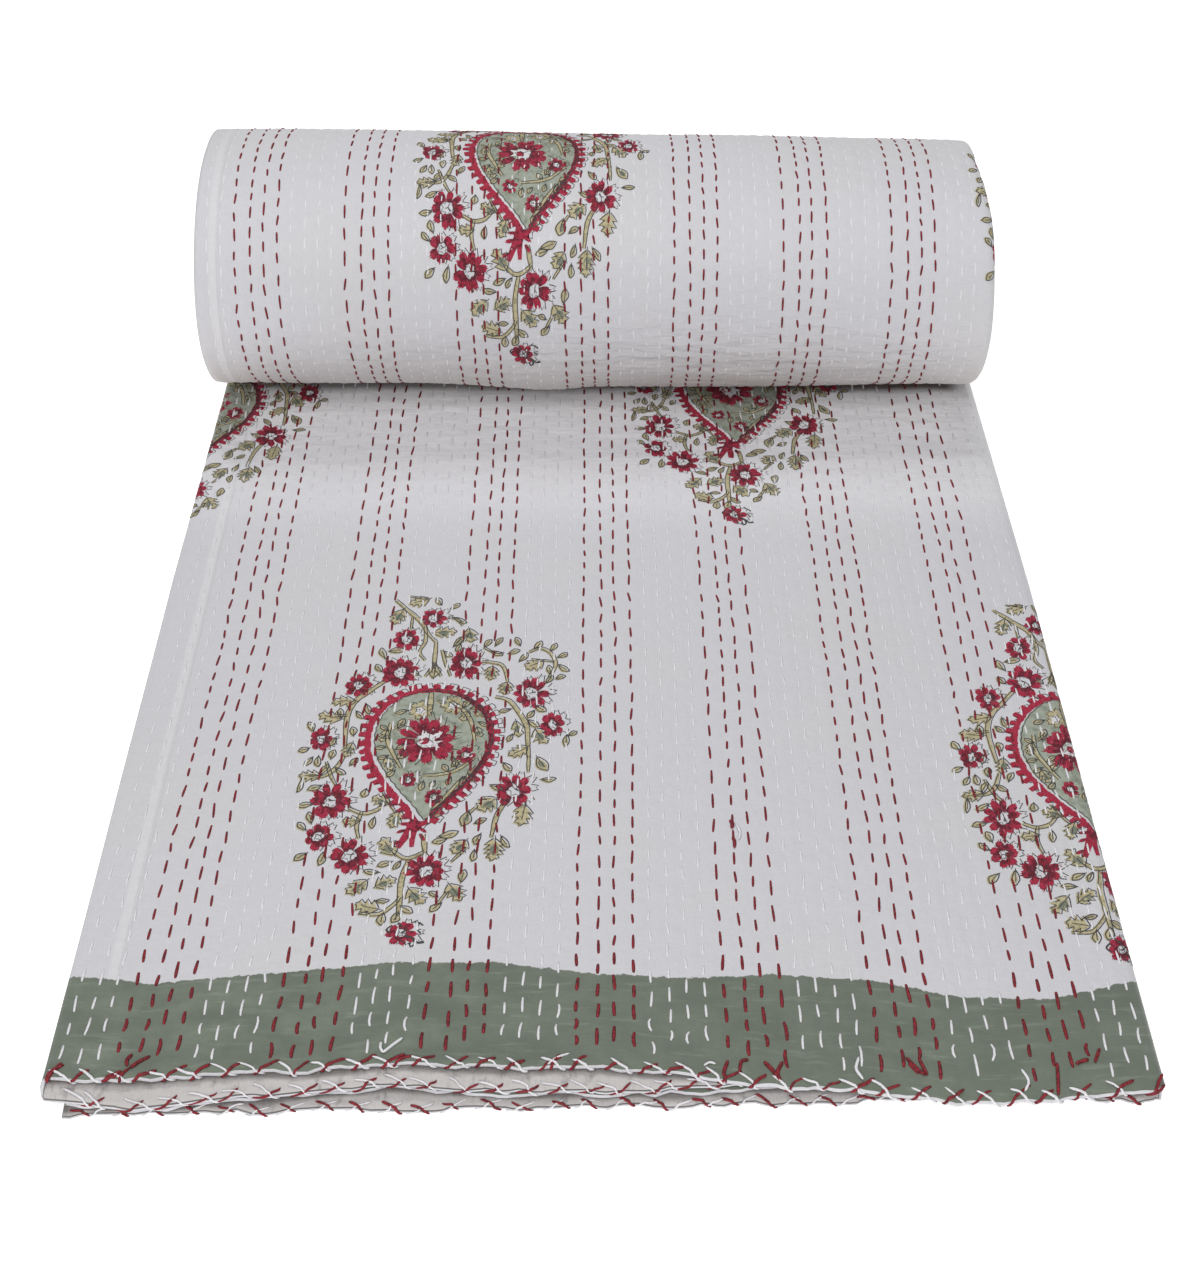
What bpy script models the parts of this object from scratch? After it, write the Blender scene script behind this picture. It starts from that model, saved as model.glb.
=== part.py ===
"""A queen-size kantha quilt, folded in quarters across its width and rolled up from its far end.

The quilt is one cloth, and so one closed solid. In the flat part its section is a strip that
goes back and forth in four layers, a little apart. That strip passes under the bolster, climbs
its back, comes over the top and winds on inwards to the core. The bolster is one wound form, and
its turns show as ridges at its two ends. Metres, +Z up, the hem towards -Y, and the origin on
the surface that the quilt lies on, under the middle of its bounding box.
"""
import math

import bmesh
import bpy
from mathutils import Vector

# The cloth and its folds
CLOTH = 0.0028          # the quilted cloth, print, batting and backing together
LAYER_STEP = 0.0034     # from one layer to the next
TURN_STEP = 0.0138      # from one turn of the bolster to the next

# The bolster, an oval a little thicker at its left end
AXIS_Y = 0.669          # from the hem to the bolster's axis, at the middle of the width
AXIS_SKEW = 0.0063      # how far the axis leans back for each metre to the right
HALF_DEPTH = 0.1096
HALF_HEIGHT = 0.0970
TAPER = 0.0063          # how much thinner each half is for each metre to the right
SIDES = 24              # flats on one turn
END_TURNS = 6.5         # turns that show at the bolster's ends, to its core
HALF_TURN = TURN_STEP / 2
TUCK = 0.012            # how far the flat part runs on inside the bolster's foot
TUCK_SHARE = 0.6        # how much of its section is left there
LIFT = 0.0003           # the foot of the bolster's wall, just above the flat part's underside

# Where the layers' edges lie across the quilt. A turn of -1 is the hem, 0 is under the
# bolster's axis, and every turn after that is once round the bolster.
# turn, left fold, layer 3's free side, layer 4's free side, right fold
EDGES = (
    (-1.00, -0.2865, -0.2730, -0.2745, 0.2875),
    (-0.40, -0.2868, -0.2770, -0.2780, 0.2875),
    (0.00, -0.2840, -0.2810, -0.2855, 0.2840),
    (0.25, -0.2815, -0.2800, -0.2835, 0.2790),
    (0.50, -0.2800, -0.2790, -0.2818, 0.2690),
    (0.60, -0.2808, -0.2795, -0.2826, 0.2745),
    (0.75, -0.2820, -0.2800, -0.2840, 0.2775),
    (1.00, -0.2815, -0.2795, -0.2838, 0.2800),
    (1.60, -0.2770, -0.2750, -0.2785, 0.2740),
    (2.30, -0.2825, -0.2800, -0.2845, 0.2785),
    (3.10, -0.2780, -0.2760, -0.2800, 0.2725),
    (4.20, -0.2810, -0.2790, -0.2830, 0.2780),
    (5.70, -0.2760, -0.2740, -0.2780, 0.2735),
)

# How far back from the front line the hem of each layer lies. Layer 1 is the top one.
# across (-1 left, 1 right), layer 1, layer 2, layer 3, layer 4
HEM = (
    (-1.00, 0.0013, -0.0085, -0.0120, -0.0135),
    (-0.84, -0.0010, -0.0142, -0.0150, -0.0128),
    (-0.68, 0.0040, -0.0083, -0.0105, -0.0112),
    (-0.52, 0.0052, -0.0045, -0.0070, -0.0104),
    (-0.38, 0.0113, 0.0008, -0.0020, -0.0096),
    (-0.19, 0.0081, -0.0031, -0.0050, -0.0088),
    (-0.02, 0.0095, -0.0031, -0.0045, -0.0076),
    (0.15, 0.0035, -0.0020, -0.0040, -0.0065),
    (0.31, -0.0018, 0.0016, 0.0000, -0.0055),
    (0.49, -0.0030, 0.0020, 0.0010, -0.0030),
    (0.65, -0.0080, 0.0025, 0.0015, -0.0008),
    (0.82, -0.0055, 0.0020, 0.0010, -0.0012),
    (1.00, -0.0015, 0.0015, 0.0005, -0.0034),
)
# How the edge of one turn of four layers is rounded off at the bolster's ends.
# depth in the turn, inset at the left end, inset at the right end
END_SHAPE = (
    (0.0, 0.0040, 0.0060),
    (0.3, 0.0003, 0.0008),
    (0.7, 0.0010, 0.0008),
    (1.0, 0.0040, 0.0060),
)
HEM_FADE = 0.16                                     # the hem's waves die out this far back
FLAT_ROWS = (0.0, 0.066, 0.16, 0.30, 0.45, 0.60)    # sections of the flat part, from the front

SHARP = math.radians(35)                            # edges that stay crisp
COLOUR = (0.66, 0.65, 0.66, 1.0)
ROUGHNESS = 0.9


def read_table(table, at):
    """The table's other columns, read between its rows by its first column."""
    for low, high in zip(table, table[1:]):
        if at <= high[0]:
            share = max(0.0, (at - low[0]) / (high[0] - low[0]))
            return [a + (b - a) * share for a, b in zip(low[1:], high[1:])]
    return list(table[-1][1:])


def run(layer, start, end, columns):
    """One layer's centre line, from side to side: x, height, layer and where the print faces."""
    height = (4 - layer) * LAYER_STEP + CLOTH / 2
    facing = -1 if end > start else 1               # the printed face looks down on 2 and 4
    shares = columns if end > start else [1 - c for c in reversed(columns)]
    return [(start + (end - start) * s, height, layer, 0.0, facing) for s in shares]


def fold(x, upper, lower, turn_from, turn_to, pieces, facing):
    """The bend that joins two layers, without its ends, which belong to the layers."""
    middle = (4 - (upper + lower) / 2) * LAYER_STEP + CLOTH / 2
    radius = abs(upper - lower) / 2 * LAYER_STEP
    points = []
    for piece in range(1, pieces):
        angle = math.radians(turn_from + (turn_to - turn_from) * piece / pieces)
        across, up = math.cos(angle), math.sin(angle)
        between = (upper + lower) / 2 - up * (lower - upper) / 2
        points.append((x + radius * across, middle + radius * up, between, facing * across, facing * up))
    return points


def strip(turn, columns):
    """The section's centre line, as its layers and folds in the order of the cloth."""
    left, side_3, side_4, right = read_table(EDGES, turn)
    small = (LAYER_STEP + CLOTH) / 2                # from a fold's centre to its tip
    large = (3 * LAYER_STEP + CLOTH) / 2
    left += small
    right -= large
    return [
        run(4, side_4, right, columns),
        fold(right, 1, 4, -90, 90, 4, 1),
        run(1, right, left, columns),
        fold(left, 1, 2, 90, 270, 3, 1),
        run(2, left, right, columns),
        fold(right, 2, 3, 90, -90, 3, -1),
        run(3, right, side_3, columns),
    ]


def both_faces(point):
    """The printed face and the backing at one point of the centre line, still as (x, height)."""
    x, height, layer, across, up = point
    half = CLOTH / 2
    return [(x + s * across, height + s * up, layer) for s in (half, -half)]


def on_flat(x, height, layer, row):
    """A point of the section laid at one row of the flat part."""
    waves = read_table(HEM, max(-1.0, x / EDGES[0][4]))
    above = min(3, int(layer))                      # the layer, or the one above this part of a fold
    hem = waves[above - 1] + (waves[above] - waves[above - 1]) * (layer - above)
    return (x, row + hem * max(0.0, 1 - row / HEM_FADE), height)


def strip_rows():
    """Each section along the flat part, as its runs of (printed face, backing) points."""
    fine = [(row[0] + 1) / 2 for row in HEM]
    for row in FLAT_ROWS:
        parts = strip(row / AXIS_Y - 1, fine)
        yield [[[on_flat(*p, row) for p in both_faces(q)] for q in part] for part in parts]
    parts = strip(0.0, (0.0, 1.0))
    for shift, share in ((0.0, 1.0), (TUCK, TUCK_SHARE)):
        yield [[[under_axis(*p, shift, share) for p in both_faces(q)] for q in part] for part in parts]


def under_axis(x, height, layer, shift, share):
    """A point of the section under the bolster's axis, or past it and drawn in by share."""
    y = AXIS_Y + AXIS_SKEW * x + shift
    return (x * share, y, HALF_TURN + (height - HALF_TURN) * share)


def join(bm, one, other):
    """Faces between two lines of corners. The second line has as many corners, or only two."""
    if len(one) == len(other):
        for i in range(len(one) - 1):
            bm.faces.new((one[i], one[i + 1], other[i + 1], other[i]))
        return
    middle = len(one) // 2
    for i in range(len(one) - 1):
        bm.faces.new((one[i], one[i + 1], other[0 if i < middle else -1]))
    bm.faces.new((one[middle], other[1], other[0]))


def lines_of(ring):
    """A ring as lines of corners. Each line is a layer, or a fold with its layers' ends."""
    for face in (0, 1):
        corners = [[pair[face] for pair in part] for part in ring]
        for i, line in enumerate(corners):
            if i % 2:
                line = corners[i - 1][-1:] + line + corners[i + 1][:1]
            yield line


def strip_body():
    """The four layers of the flat part as one closed body."""
    bm = bmesh.new()
    made = [[[[bm.verts.new(p) for p in pair] for pair in part] for part in ring] for ring in strip_rows()]
    for front, back in zip(made, made[1:]):
        for one, other in zip(lines_of(front), lines_of(back)):
            join(bm, one, other)
        for end in (0, -1):                         # the free sides of layers 4 and 3
            bm.faces.new((*front[end][end], *reversed(back[end][end])))
    for ring in (made[0], made[-1]):
        pairs = [pair for part in ring for pair in part]
        for (a, b), (c, d) in zip(pairs, pairs[1:]):
            bm.faces.new((a, c, d, b))
    bmesh.ops.recalc_face_normals(bm, faces=bm.faces)
    return bm


def on_bolster(step, depth, side):
    """A point on the bolster's end, so far in from the face of the turn that passes this step."""
    turn = step / SIDES
    edges = read_table(EDGES, turn)
    inset = read_table(END_SHAPE, depth / TURN_STEP)[side]
    x = edges[3] - inset if side else min(edges[0], edges[2]) + inset
    angle = math.tau * turn
    thinner = TURN_STEP * turn + depth + TAPER * x
    return (
        x,
        AXIS_Y + AXIS_SKEW * x + (HALF_DEPTH - thinner) * math.sin(angle),
        HALF_HEIGHT - TAPER * x - (HALF_HEIGHT - thinner) * math.cos(angle) + (LIFT if step == 0 else 0),
    )


def bolster_body():
    """The wound form as one closed body: the outer turn, and at its ends the turns inside it."""
    bm = bmesh.new()
    last = round(END_TURNS * SIDES)
    depths = [row[0] * TURN_STEP for row in END_SHAPE[:-1]]
    ends = []
    for side in (0, 1):
        spiral = [
            [bm.verts.new(on_bolster(step, d, side)) for d in (depths if step <= last - SIDES else (0,))]
            for step in range(last + 1)
        ]
        for step in range(last - SIDES):
            one = spiral[step] + spiral[step + SIDES][:1]
            other = spiral[step + 1] + spiral[step + 1 + SIDES][:1]
            join(bm, one, other)
        rim = [spiral[step][0] for step in range(last - SIDES, last + 1)] + spiral[last - SIDES][:0:-1]
        middle = sum((v.co for v in rim), Vector()) / len(rim)
        core = bm.verts.new(middle)
        for a, b in zip(rim, rim[1:] + rim[:1]):
            bm.faces.new((a, b, core))
        ends.append([spiral[step][0] for step in range(SIDES, -1, -1)] + spiral[0][1:] + spiral[SIDES][:1])
    left, right = ends
    for i in range(len(left) - 1):
        bm.faces.new((left[i], left[i + 1], right[i + 1], right[i]))
    bmesh.ops.recalc_face_normals(bm, faces=bm.faces)
    return bm


def centre_on_floor(bodies):
    """Moves the bodies so that the origin lies under the middle of their common bounding box."""
    for axis in (0, 1):
        places = [v.co[axis] for bm in bodies for v in bm.verts]
        middle = (min(places) + max(places)) / 2
        for bm in bodies:
            for v in bm.verts:
                v.co[axis] -= middle


def add_object(name, bm):
    mesh = bpy.data.meshes.new(name)
    bm.to_mesh(mesh)
    bm.free()
    mesh.shade_smooth()
    mesh.set_sharp_from_angle(angle=SHARP)
    mesh.materials.append(cloth_material())
    body = bpy.data.objects.new(name, mesh)
    bpy.context.scene.collection.objects.link(body)
    return body


def cloth_material():
    material = bpy.data.materials.new("quilt_cotton")
    material.use_nodes = True
    shader = material.node_tree.nodes["Principled BSDF"]
    shader.inputs["Base Color"].default_value = COLOUR
    shader.inputs["Roughness"].default_value = ROUGHNESS
    shader.inputs["Metallic"].default_value = 0.0
    return material


def main():
    for old in list(bpy.data.objects):
        bpy.data.objects.remove(old)
    bodies = [strip_body(), bolster_body()]
    centre_on_floor(bodies)
    quilt = add_object("quilt", bodies[0])
    bolster = add_object("bolster_guide", bodies[1])
    bolster.hide_render = True
    bolster.display_type = "WIRE"
    union = quilt.modifiers.new("rolled_end", "BOOLEAN")
    union.operation = "UNION"
    union.object = bolster


main()
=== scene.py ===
"""Looks of the kantha quilt: one folded and rolled cloth, its block print and its running stitches.

The cloth is laid by a section of four layers that goes back and forth, and by how far along the
quilt that section is. Each side that shows is also kept as a Patch, a fine grid over the printed
face. Print and stitches are placed on a Patch by metres across and metres along the cloth.
"""
import math

import bmesh
import bpy
import numpy as np
from mathutils import Matrix, Vector


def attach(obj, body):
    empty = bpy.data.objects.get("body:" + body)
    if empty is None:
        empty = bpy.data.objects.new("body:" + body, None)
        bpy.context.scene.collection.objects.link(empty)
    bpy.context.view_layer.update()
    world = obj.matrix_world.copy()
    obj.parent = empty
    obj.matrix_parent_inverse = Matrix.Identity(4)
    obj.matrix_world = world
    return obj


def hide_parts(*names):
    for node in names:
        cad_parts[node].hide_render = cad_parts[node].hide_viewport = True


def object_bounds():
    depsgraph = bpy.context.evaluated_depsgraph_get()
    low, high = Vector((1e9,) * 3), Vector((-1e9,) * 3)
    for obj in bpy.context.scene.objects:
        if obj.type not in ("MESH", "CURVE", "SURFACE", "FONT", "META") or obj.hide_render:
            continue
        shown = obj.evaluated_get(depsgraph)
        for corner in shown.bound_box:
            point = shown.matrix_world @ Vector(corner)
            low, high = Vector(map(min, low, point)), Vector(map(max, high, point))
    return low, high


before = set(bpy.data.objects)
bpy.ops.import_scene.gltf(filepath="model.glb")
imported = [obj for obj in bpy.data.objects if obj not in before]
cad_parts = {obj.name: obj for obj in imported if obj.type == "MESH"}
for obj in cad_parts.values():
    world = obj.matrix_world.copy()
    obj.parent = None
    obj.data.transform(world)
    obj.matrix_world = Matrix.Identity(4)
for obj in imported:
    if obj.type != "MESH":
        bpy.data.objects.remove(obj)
CAD_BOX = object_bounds()

# ---------------------------------------------------------------- the quilt's sizes, in metres
CLOTH = 0.0028              # its thickness
LAYER_STEP = 0.0034         # from one of the four layers to the next
TURN_STEP = 0.0138          # from one turn of the bolster to the next
AXIS_Y = 0.669              # from the hem to the bolster's axis
AXIS_SKEW = 0.0063          # the axis goes this far back for each metre to the right
SKEW_FROM = 0.3             # and the flat part goes with it from here
HALF_DEPTH = 0.1096         # of the bolster
HALF_HEIGHT = 0.0970
TAPER = 0.0063              # both get this much smaller for each metre to the right
LAST_TURN = 5.7
SMALL_FOLD = (LAYER_STEP + CLOTH) / 2           # outer radius of a fold that joins two layers
LARGE_FOLD = (3 * LAYER_STEP + CLOTH) / 2       # and of the fold round the two inner layers

# Where the layers' edges lie. Turn -1 is the hem, 0 is under the bolster's axis, and every turn
# after that is once round the bolster.
# turn, left fold, layer 3's free side, layer 4's free side, right fold
EDGES = np.array((
    (-1.00, -0.2865, -0.2730, -0.2745, 0.2875),
    (-0.40, -0.2868, -0.2770, -0.2780, 0.2875),
    (0.00, -0.2840, -0.2810, -0.2855, 0.2840),
    (0.25, -0.2815, -0.2800, -0.2835, 0.2790),
    (0.50, -0.2800, -0.2790, -0.2818, 0.2690),
    (0.60, -0.2808, -0.2795, -0.2826, 0.2745),
    (0.75, -0.2820, -0.2800, -0.2840, 0.2775),
    (1.00, -0.2815, -0.2795, -0.2838, 0.2800),
    (1.60, -0.2770, -0.2750, -0.2785, 0.2740),
    (2.30, -0.2825, -0.2800, -0.2845, 0.2785),
    (3.10, -0.2780, -0.2760, -0.2800, 0.2725),
    (4.20, -0.2810, -0.2790, -0.2830, 0.2780),
    (5.70, -0.2760, -0.2740, -0.2780, 0.2735),
))
# How far back from the front line the hem of each layer lies.
# across (-1 left, 1 right), layer 1, layer 2, layer 3, layer 4
HEM = np.array((
    (-1.00, 0.0013, -0.0085, -0.0085, -0.0135),
    (-0.84, -0.0010, -0.0142, -0.0136, -0.0128),
    (-0.68, 0.0040, -0.0083, -0.0077, -0.0112),
    (-0.52, 0.0052, -0.0045, -0.0039, -0.0104),
    (-0.38, 0.0113, 0.0008, 0.0014, -0.0096),
    (-0.19, 0.0081, -0.0031, -0.0025, -0.0088),
    (-0.02, 0.0095, -0.0031, -0.0025, -0.0076),
    (0.15, 0.0035, -0.0020, -0.0014, -0.0065),
    (0.31, -0.0018, 0.0016, 0.0022, -0.0055),
    (0.49, -0.0030, 0.0020, 0.0026, -0.0030),
    (0.65, -0.0080, 0.0025, 0.0031, -0.0008),
    (0.82, -0.0055, 0.0020, 0.0026, -0.0012),
    (1.00, -0.0015, 0.0015, 0.0015, -0.0034),
))
HEM_FADE = 0.16
# How far the top layer's hem hangs over and droops, and how wide its green border is there.
# across, droop at the hem, width of the border
HEM_SHAPE = np.array((
    (-1.00, 0.0004, 0.0662),
    (-0.84, 0.0000, 0.0616),
    (-0.68, 0.0002, 0.0636),
    (-0.52, 0.0004, 0.0680),
    (-0.38, 0.0000, 0.0702),
    (-0.19, 0.0000, 0.0715),
    (-0.02, 0.0002, 0.0633),
    (0.15, 0.0004, 0.0639),
    (0.31, 0.0022, 0.0695),
    (0.49, 0.0048, 0.0668),
    (0.65, 0.0078, 0.0590),
    (0.82, 0.0058, 0.0551),
    (1.00, 0.0030, 0.0669),
))
DROOP_FADE = 0.024          # the droop is gone this far back
RUFFLE_FADE = 0.013         # and so is the ruffle that the hem's stitches pull it into
RUFFLE_PULL, RUFFLE_LIFT = 0.0019, 0.0026
RUFFLE_WAVE = 0.0085        # metres across for one wave of it
LIFT_WAVE, FINE_LIFT_WAVE = 0.022, 0.008
LIFT_SHARES = (1.0, 0.45, 0.25, 0.0)            # how much of the lift each layer takes
LOFT, LOFT_ACROSS, LOFT_ALONG = 0.055, 0.09, 0.11       # the flat stack's height varies by this share
SWELL, SWELL_WAVE, SWELLS_A_TURN = 0.0011, 0.10, 9      # and the roll's radius by this length
# The turns at which the swell and the sag come in and go out, and over what reach.
SWELL_IN, SWELL_OUT, SAG_IN, SAG_OUT = (0, 0.2), (1.15, -0.3), (0.74, 0.12), (1.02, -0.09)
# How far the roll sags forward low on its front. across, sag
SAG = np.array((
    (-1.00, -0.0018), (-0.50, -0.0016), (-0.38, -0.0008), (-0.24, 0.0016), (-0.17, 0.0032),
    (-0.10, 0.0028), (-0.02, 0.0006), (0.06, 0.0), (1.00, 0.0),
))

FLAT_SEAM, ROLL_SEAM = -0.2595, -0.2668        # where a seam runs near the left side, on each

# ---------------------------------------------------------------- the quilting
GROUP = 8                   # four red rows, then four white ones
RED_ROWS = 4
# Where the rows of a group lie, as shares of the step from one group to the next.
ROW_SHARES = (0, 0.147, 0.261, 0.391, 0.513, 0.632, 0.752, 0.877, 1)
# metres from the hem, the first red row across, the step from group to group
FLAT_ROWS = np.array((
    (0.00, -0.2508, 0.0785),
    (0.13, -0.2478, 0.0779),
    (0.33, -0.2435, 0.0772),
    (0.61, -0.2440, 0.0773),
))
ROLL_ROWS = np.array((
    (0.00, -0.2535, 0.0762),
    (1.00, -0.2555, 0.0764),
    (1.12, -0.2545, 0.0762),
    (1.30, -0.2510, 0.0758),
))
FLAT_SHOWN = 0.652          # the flat part shows from the hem to here
ROWS_LEFT, ROWS_RIGHT = -4, 54
ROW_WANDER = 0.0007         # how far a row strays to either side
PUFF = 0.00055              # how high the cloth rises between two rows
LUMPS, LUMP_WAVE = 0.55, 0.0085                 # how unevenly: a share, and metres for one wave
DENTS, DENT_WAVE = 0.00016, 0.012
# Finer forms of the face that shows: height, and the rows and the metres for one wave.
RIPPLES = (0.00045, 4.5, 0.0065)                # before the roll
SLANTING_FOLDS = (0.0018, 3.4, 0.030)           # and to the right of them
SLANT = 0.024
CRUMPLES = (0.00085, 6.5, 0.0085)               # low on the roll's front
FINE_CRUMPLES = (0.00040, 3.0, 0.0045)
# Where they come in, in metres from the hem or in rows, and over what reach.
RIPPLED, FOLDED, FOLDED_ROWS = (0.42, 0.16), (0.50, 0.06), (46, 6)
CRUMPLES_FROM, MORE_CRUMPLES = (1.08, 0.10), (22, 10)


def noise(seed, across, along):
    """Smooth random values between -1 and 1 over a plane, with one knot a unit."""
    knots = np.random.default_rng(seed).uniform(-1, 1, (64, 512))
    across, along = np.broadcast_arrays(np.asarray(across, float), np.asarray(along, float))
    i, j = np.floor(across).astype(int), np.floor(along).astype(int)
    a, b = across - i, along - j
    a, b = a * a * (3 - 2 * a), b * b * (3 - 2 * b)
    i, j = i % 64, j % 512
    k, m = (i + 1) % 64, (j + 1) % 512
    low = knots[i, j] * (1 - a) + knots[k, j] * a
    high = knots[i, m] * (1 - a) + knots[k, m] * a
    return low * (1 - b) + high * b


def read_table(table, at, column):
    return np.interp(at, table[:, 0], table[:, column])


def smooth(share):
    share = np.clip(share, 0, 1)
    return share * share * (3 - 2 * share)


def fade(value, start, reach):
    """A soft step from 0 at the start to 1 a reach away. A reach below 0 goes the other way."""
    return smooth((value - start) / reach)


def half_widths(x):
    """Places across as shares of the hem's half width, as the tables have them."""
    return np.clip(x / EDGES[0, 4], -1, 1)


# ---------------------------------------------------------------- how the cloth lies
def along_cloth(turn):
    """Metres of cloth from the hem to each turn, measured on the face that shows."""
    fine = np.linspace(0, LAST_TURN, 1200)
    depth, height = HALF_DEPTH - TURN_STEP * fine, HALF_HEIGHT - TURN_STEP * fine
    speed = math.tau * np.hypot(depth * np.cos(math.tau * fine), height * np.sin(math.tau * fine))
    steps = (speed[1:] + speed[:-1]) / 2 * np.diff(fine)
    wound = AXIS_Y + np.concatenate(([0], np.cumsum(steps)))
    turn = np.asarray(turn, float)
    return np.where(turn < 0, (turn + 1) * AXIS_Y, np.interp(turn, fine, wound))


def place(x, height, layer, turn):
    """Where a point of the section lies, at a turn. All four are arrays of one shape."""
    row = (turn + 1) * AXIS_Y
    across = half_widths(x)
    waves = np.stack([read_table(HEM, across, n) for n in (1, 2, 3, 4)])
    whole = np.clip(np.floor(layer).astype(int), 1, 3)
    above = np.take_along_axis(waves, whole[None] - 1, 0)[0]
    below = np.take_along_axis(waves, whole[None], 0)[0]
    hem = above + (below - above) * (layer - whole)
    back = fade(row, SKEW_FROM, AXIS_Y - SKEW_FROM)
    ruffle = np.clip(1 - row / RUFFLE_FADE, 0, 1)
    flat_y = row + hem * np.clip(1 - row / HEM_FADE, 0, 1) + AXIS_SKEW * x * back
    flat_y = flat_y + RUFFLE_PULL * noise(31, x / RUFFLE_WAVE, layer * 2.3) * ruffle
    on_top = np.clip(2 - layer, 0, 1)
    droop = read_table(HEM_SHAPE, across, 1) * np.clip(1 - row / DROOP_FADE, 0, 1) ** 2 * on_top
    uneven = 0.5 + 0.35 * noise(33, x / LIFT_WAVE, 0.4) + 0.15 * noise(34, x / FINE_LIFT_WAVE, layer)
    lift = RUFFLE_LIFT * np.interp(layer, (1, 2, 3, 4), LIFT_SHARES) * uneven
    loft = 1 + LOFT * noise(3, x / LOFT_ACROSS, row / LOFT_ALONG)
    flat_z = np.maximum(height * loft - droop + lift * ruffle, 0.0)
    angle = math.tau * turn
    swell = SWELL * noise(4, x / SWELL_WAVE, turn * SWELLS_A_TURN)
    swell = swell * fade(turn, *SWELL_IN) * fade(turn, *SWELL_OUT)
    sag = read_table(SAG, across, 1) * fade(turn, *SAG_IN) * fade(turn, *SAG_OUT)
    thinner = TURN_STEP * turn + height + TAPER * x - swell - sag
    roll_y = AXIS_Y + AXIS_SKEW * x + (HALF_DEPTH - thinner) * np.sin(angle)
    roll_z = HALF_HEIGHT - TAPER * x - (HALF_HEIGHT - thinner) * np.cos(angle)
    flat = turn < 0
    return np.stack((x, np.where(flat, flat_y, roll_y), np.where(flat, flat_z, roll_z)), -1)


# The section's parts, in the order of the cloth: layer 4 from its free side, the large fold,
# layer 1, the small fold on the left, layer 2, the small fold on the right, layer 3.
def straight(layer, across, facing):
    """One layer: x, height, layer and where the printed face points, at each place across."""
    ones = np.ones_like(across)
    height = (4 - layer) * LAYER_STEP + CLOTH / 2
    return across, height * ones, layer * ones, 0 * ones, facing * ones


def bend(x, upper, lower, turn_from, turn_to, shares, facing):
    """The fold that joins two layers."""
    angle = np.radians(turn_from + (turn_to - turn_from) * shares)
    middle = (4 - (upper + lower) / 2) * LAYER_STEP + CLOTH / 2
    radius = abs(upper - lower) / 2 * LAYER_STEP
    across, up = np.cos(angle), np.sin(angle)
    layer = (upper + lower) / 2 - up * (lower - upper) / 2
    return x + radius * across, middle + radius * up, layer, facing * across, facing * up


def stitch_row(side, row, along):
    """Metres across of a row of stitches on the flat part or the roll. Rows may be fractions."""
    row, along = np.broadcast_arrays(np.asarray(row, float), np.asarray(along, float))
    table, seed = (FLAT_ROWS, 11) if side == "flat" else (ROLL_ROWS, 12)
    group = np.floor(row / GROUP)
    share = group + np.interp(row - group * GROUP, np.arange(GROUP + 1), ROW_SHARES)
    wander = 0.7 * noise(seed, row, along / 0.07) + 0.5 * noise(seed + 4, row / 5, along / 0.13)
    steady = 0.6 * noise(seed + 8, row, 0.5)
    start = read_table(table, along, 1) + read_table(table, along, 2) * share
    return start + ROW_WANDER * (wander + steady)


def waves(form, seed, row, along, slant=0):
    height, rows, metres = form
    return height * noise(seed, row / rows + slant, along / metres)


def relief(side, row, along):
    """How far the quilting lifts the printed face, zero along the rows of stitches."""
    lumps_seed, dents_seed = (21, 23) if side == "flat" else (22, 24)
    lumps = noise(lumps_seed, row + 0.37, along / LUMP_WAVE)
    dents = noise(dents_seed, row * 2, along / DENT_WAVE)
    if side == "flat":      # fine ripples in front of the roll, and soft slanting folds to the right
        strong = fade(along, *RIPPLED)
        corner = fade(row, *FOLDED_ROWS) * fade(along, *FOLDED)
        ripples = waves(RIPPLES, 25, row, along)
        ripples = ripples + corner * waves(SLANTING_FOLDS, 27, row, along, along / SLANT)
    else:                   # the cloth is crumpled low on the roll's front, most to the right
        strong = fade(along, *CRUMPLES_FROM) * (0.40 + 0.60 * fade(row, *MORE_CRUMPLES))
        ripples = waves(CRUMPLES, 26, row, along) + waves(FINE_CRUMPLES, 28, row, along)
    between = np.sin(np.pi * row) ** 2
    return PUFF * between * (1 + LUMPS * lumps) + DENTS * dents + strong * ripples


def part_columns(count=13):
    """For each part of the section, the places across it as shares."""
    coarse, few = np.linspace(0, 1, count), np.linspace(0, 1, 5)
    return [coarse, np.linspace(0, 1, 9), coarse, few, coarse, few, coarse]


FINE_STEP = 1 / 3           # fine columns lie this far apart, counted in rows of stitches
FINE_MARGIN = 0.0015        # and at least this far from a layer's edges
FLAT_EDGE = 0.006           # the quilting's relief fades out this close to them
ROLL_FROM, ROLL_TO = 0.06, 0.97                 # the turns between which the roll's outer layer shows
WOUND_FROM = 0.99           # the hidden turns begin here
FLAT_LINES, UNDER_LINES, ROLL_LINES, TURN_LINES = 152, 8, 140, 28
BACK_HEM = (0, 0.002, 0.005, 0.009, 0.014)      # the backing's lines at the hem, in metres from it
BACK_LINES = (0.019, 0.028, 0.045, *np.linspace(0.068, AXIS_Y, 25))
HEM_ROWS, HEM_COLUMNS = 4, 140                  # the rows at the hem have more columns on every layer
BACK_MARK, RIM_MARK = 5.0, 0.02                 # marks of the backing and the hem's lip
LIP_REACH, LIP_SCALE = 0.02, 10                 # the backing's marks rise this far from a lip
LIP_DEPTHS = (0.10, 0.40, 0.64)                 # the lip's lines, as shares of the cloth's thickness
LIP_BULGE = 0.0010


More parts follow.
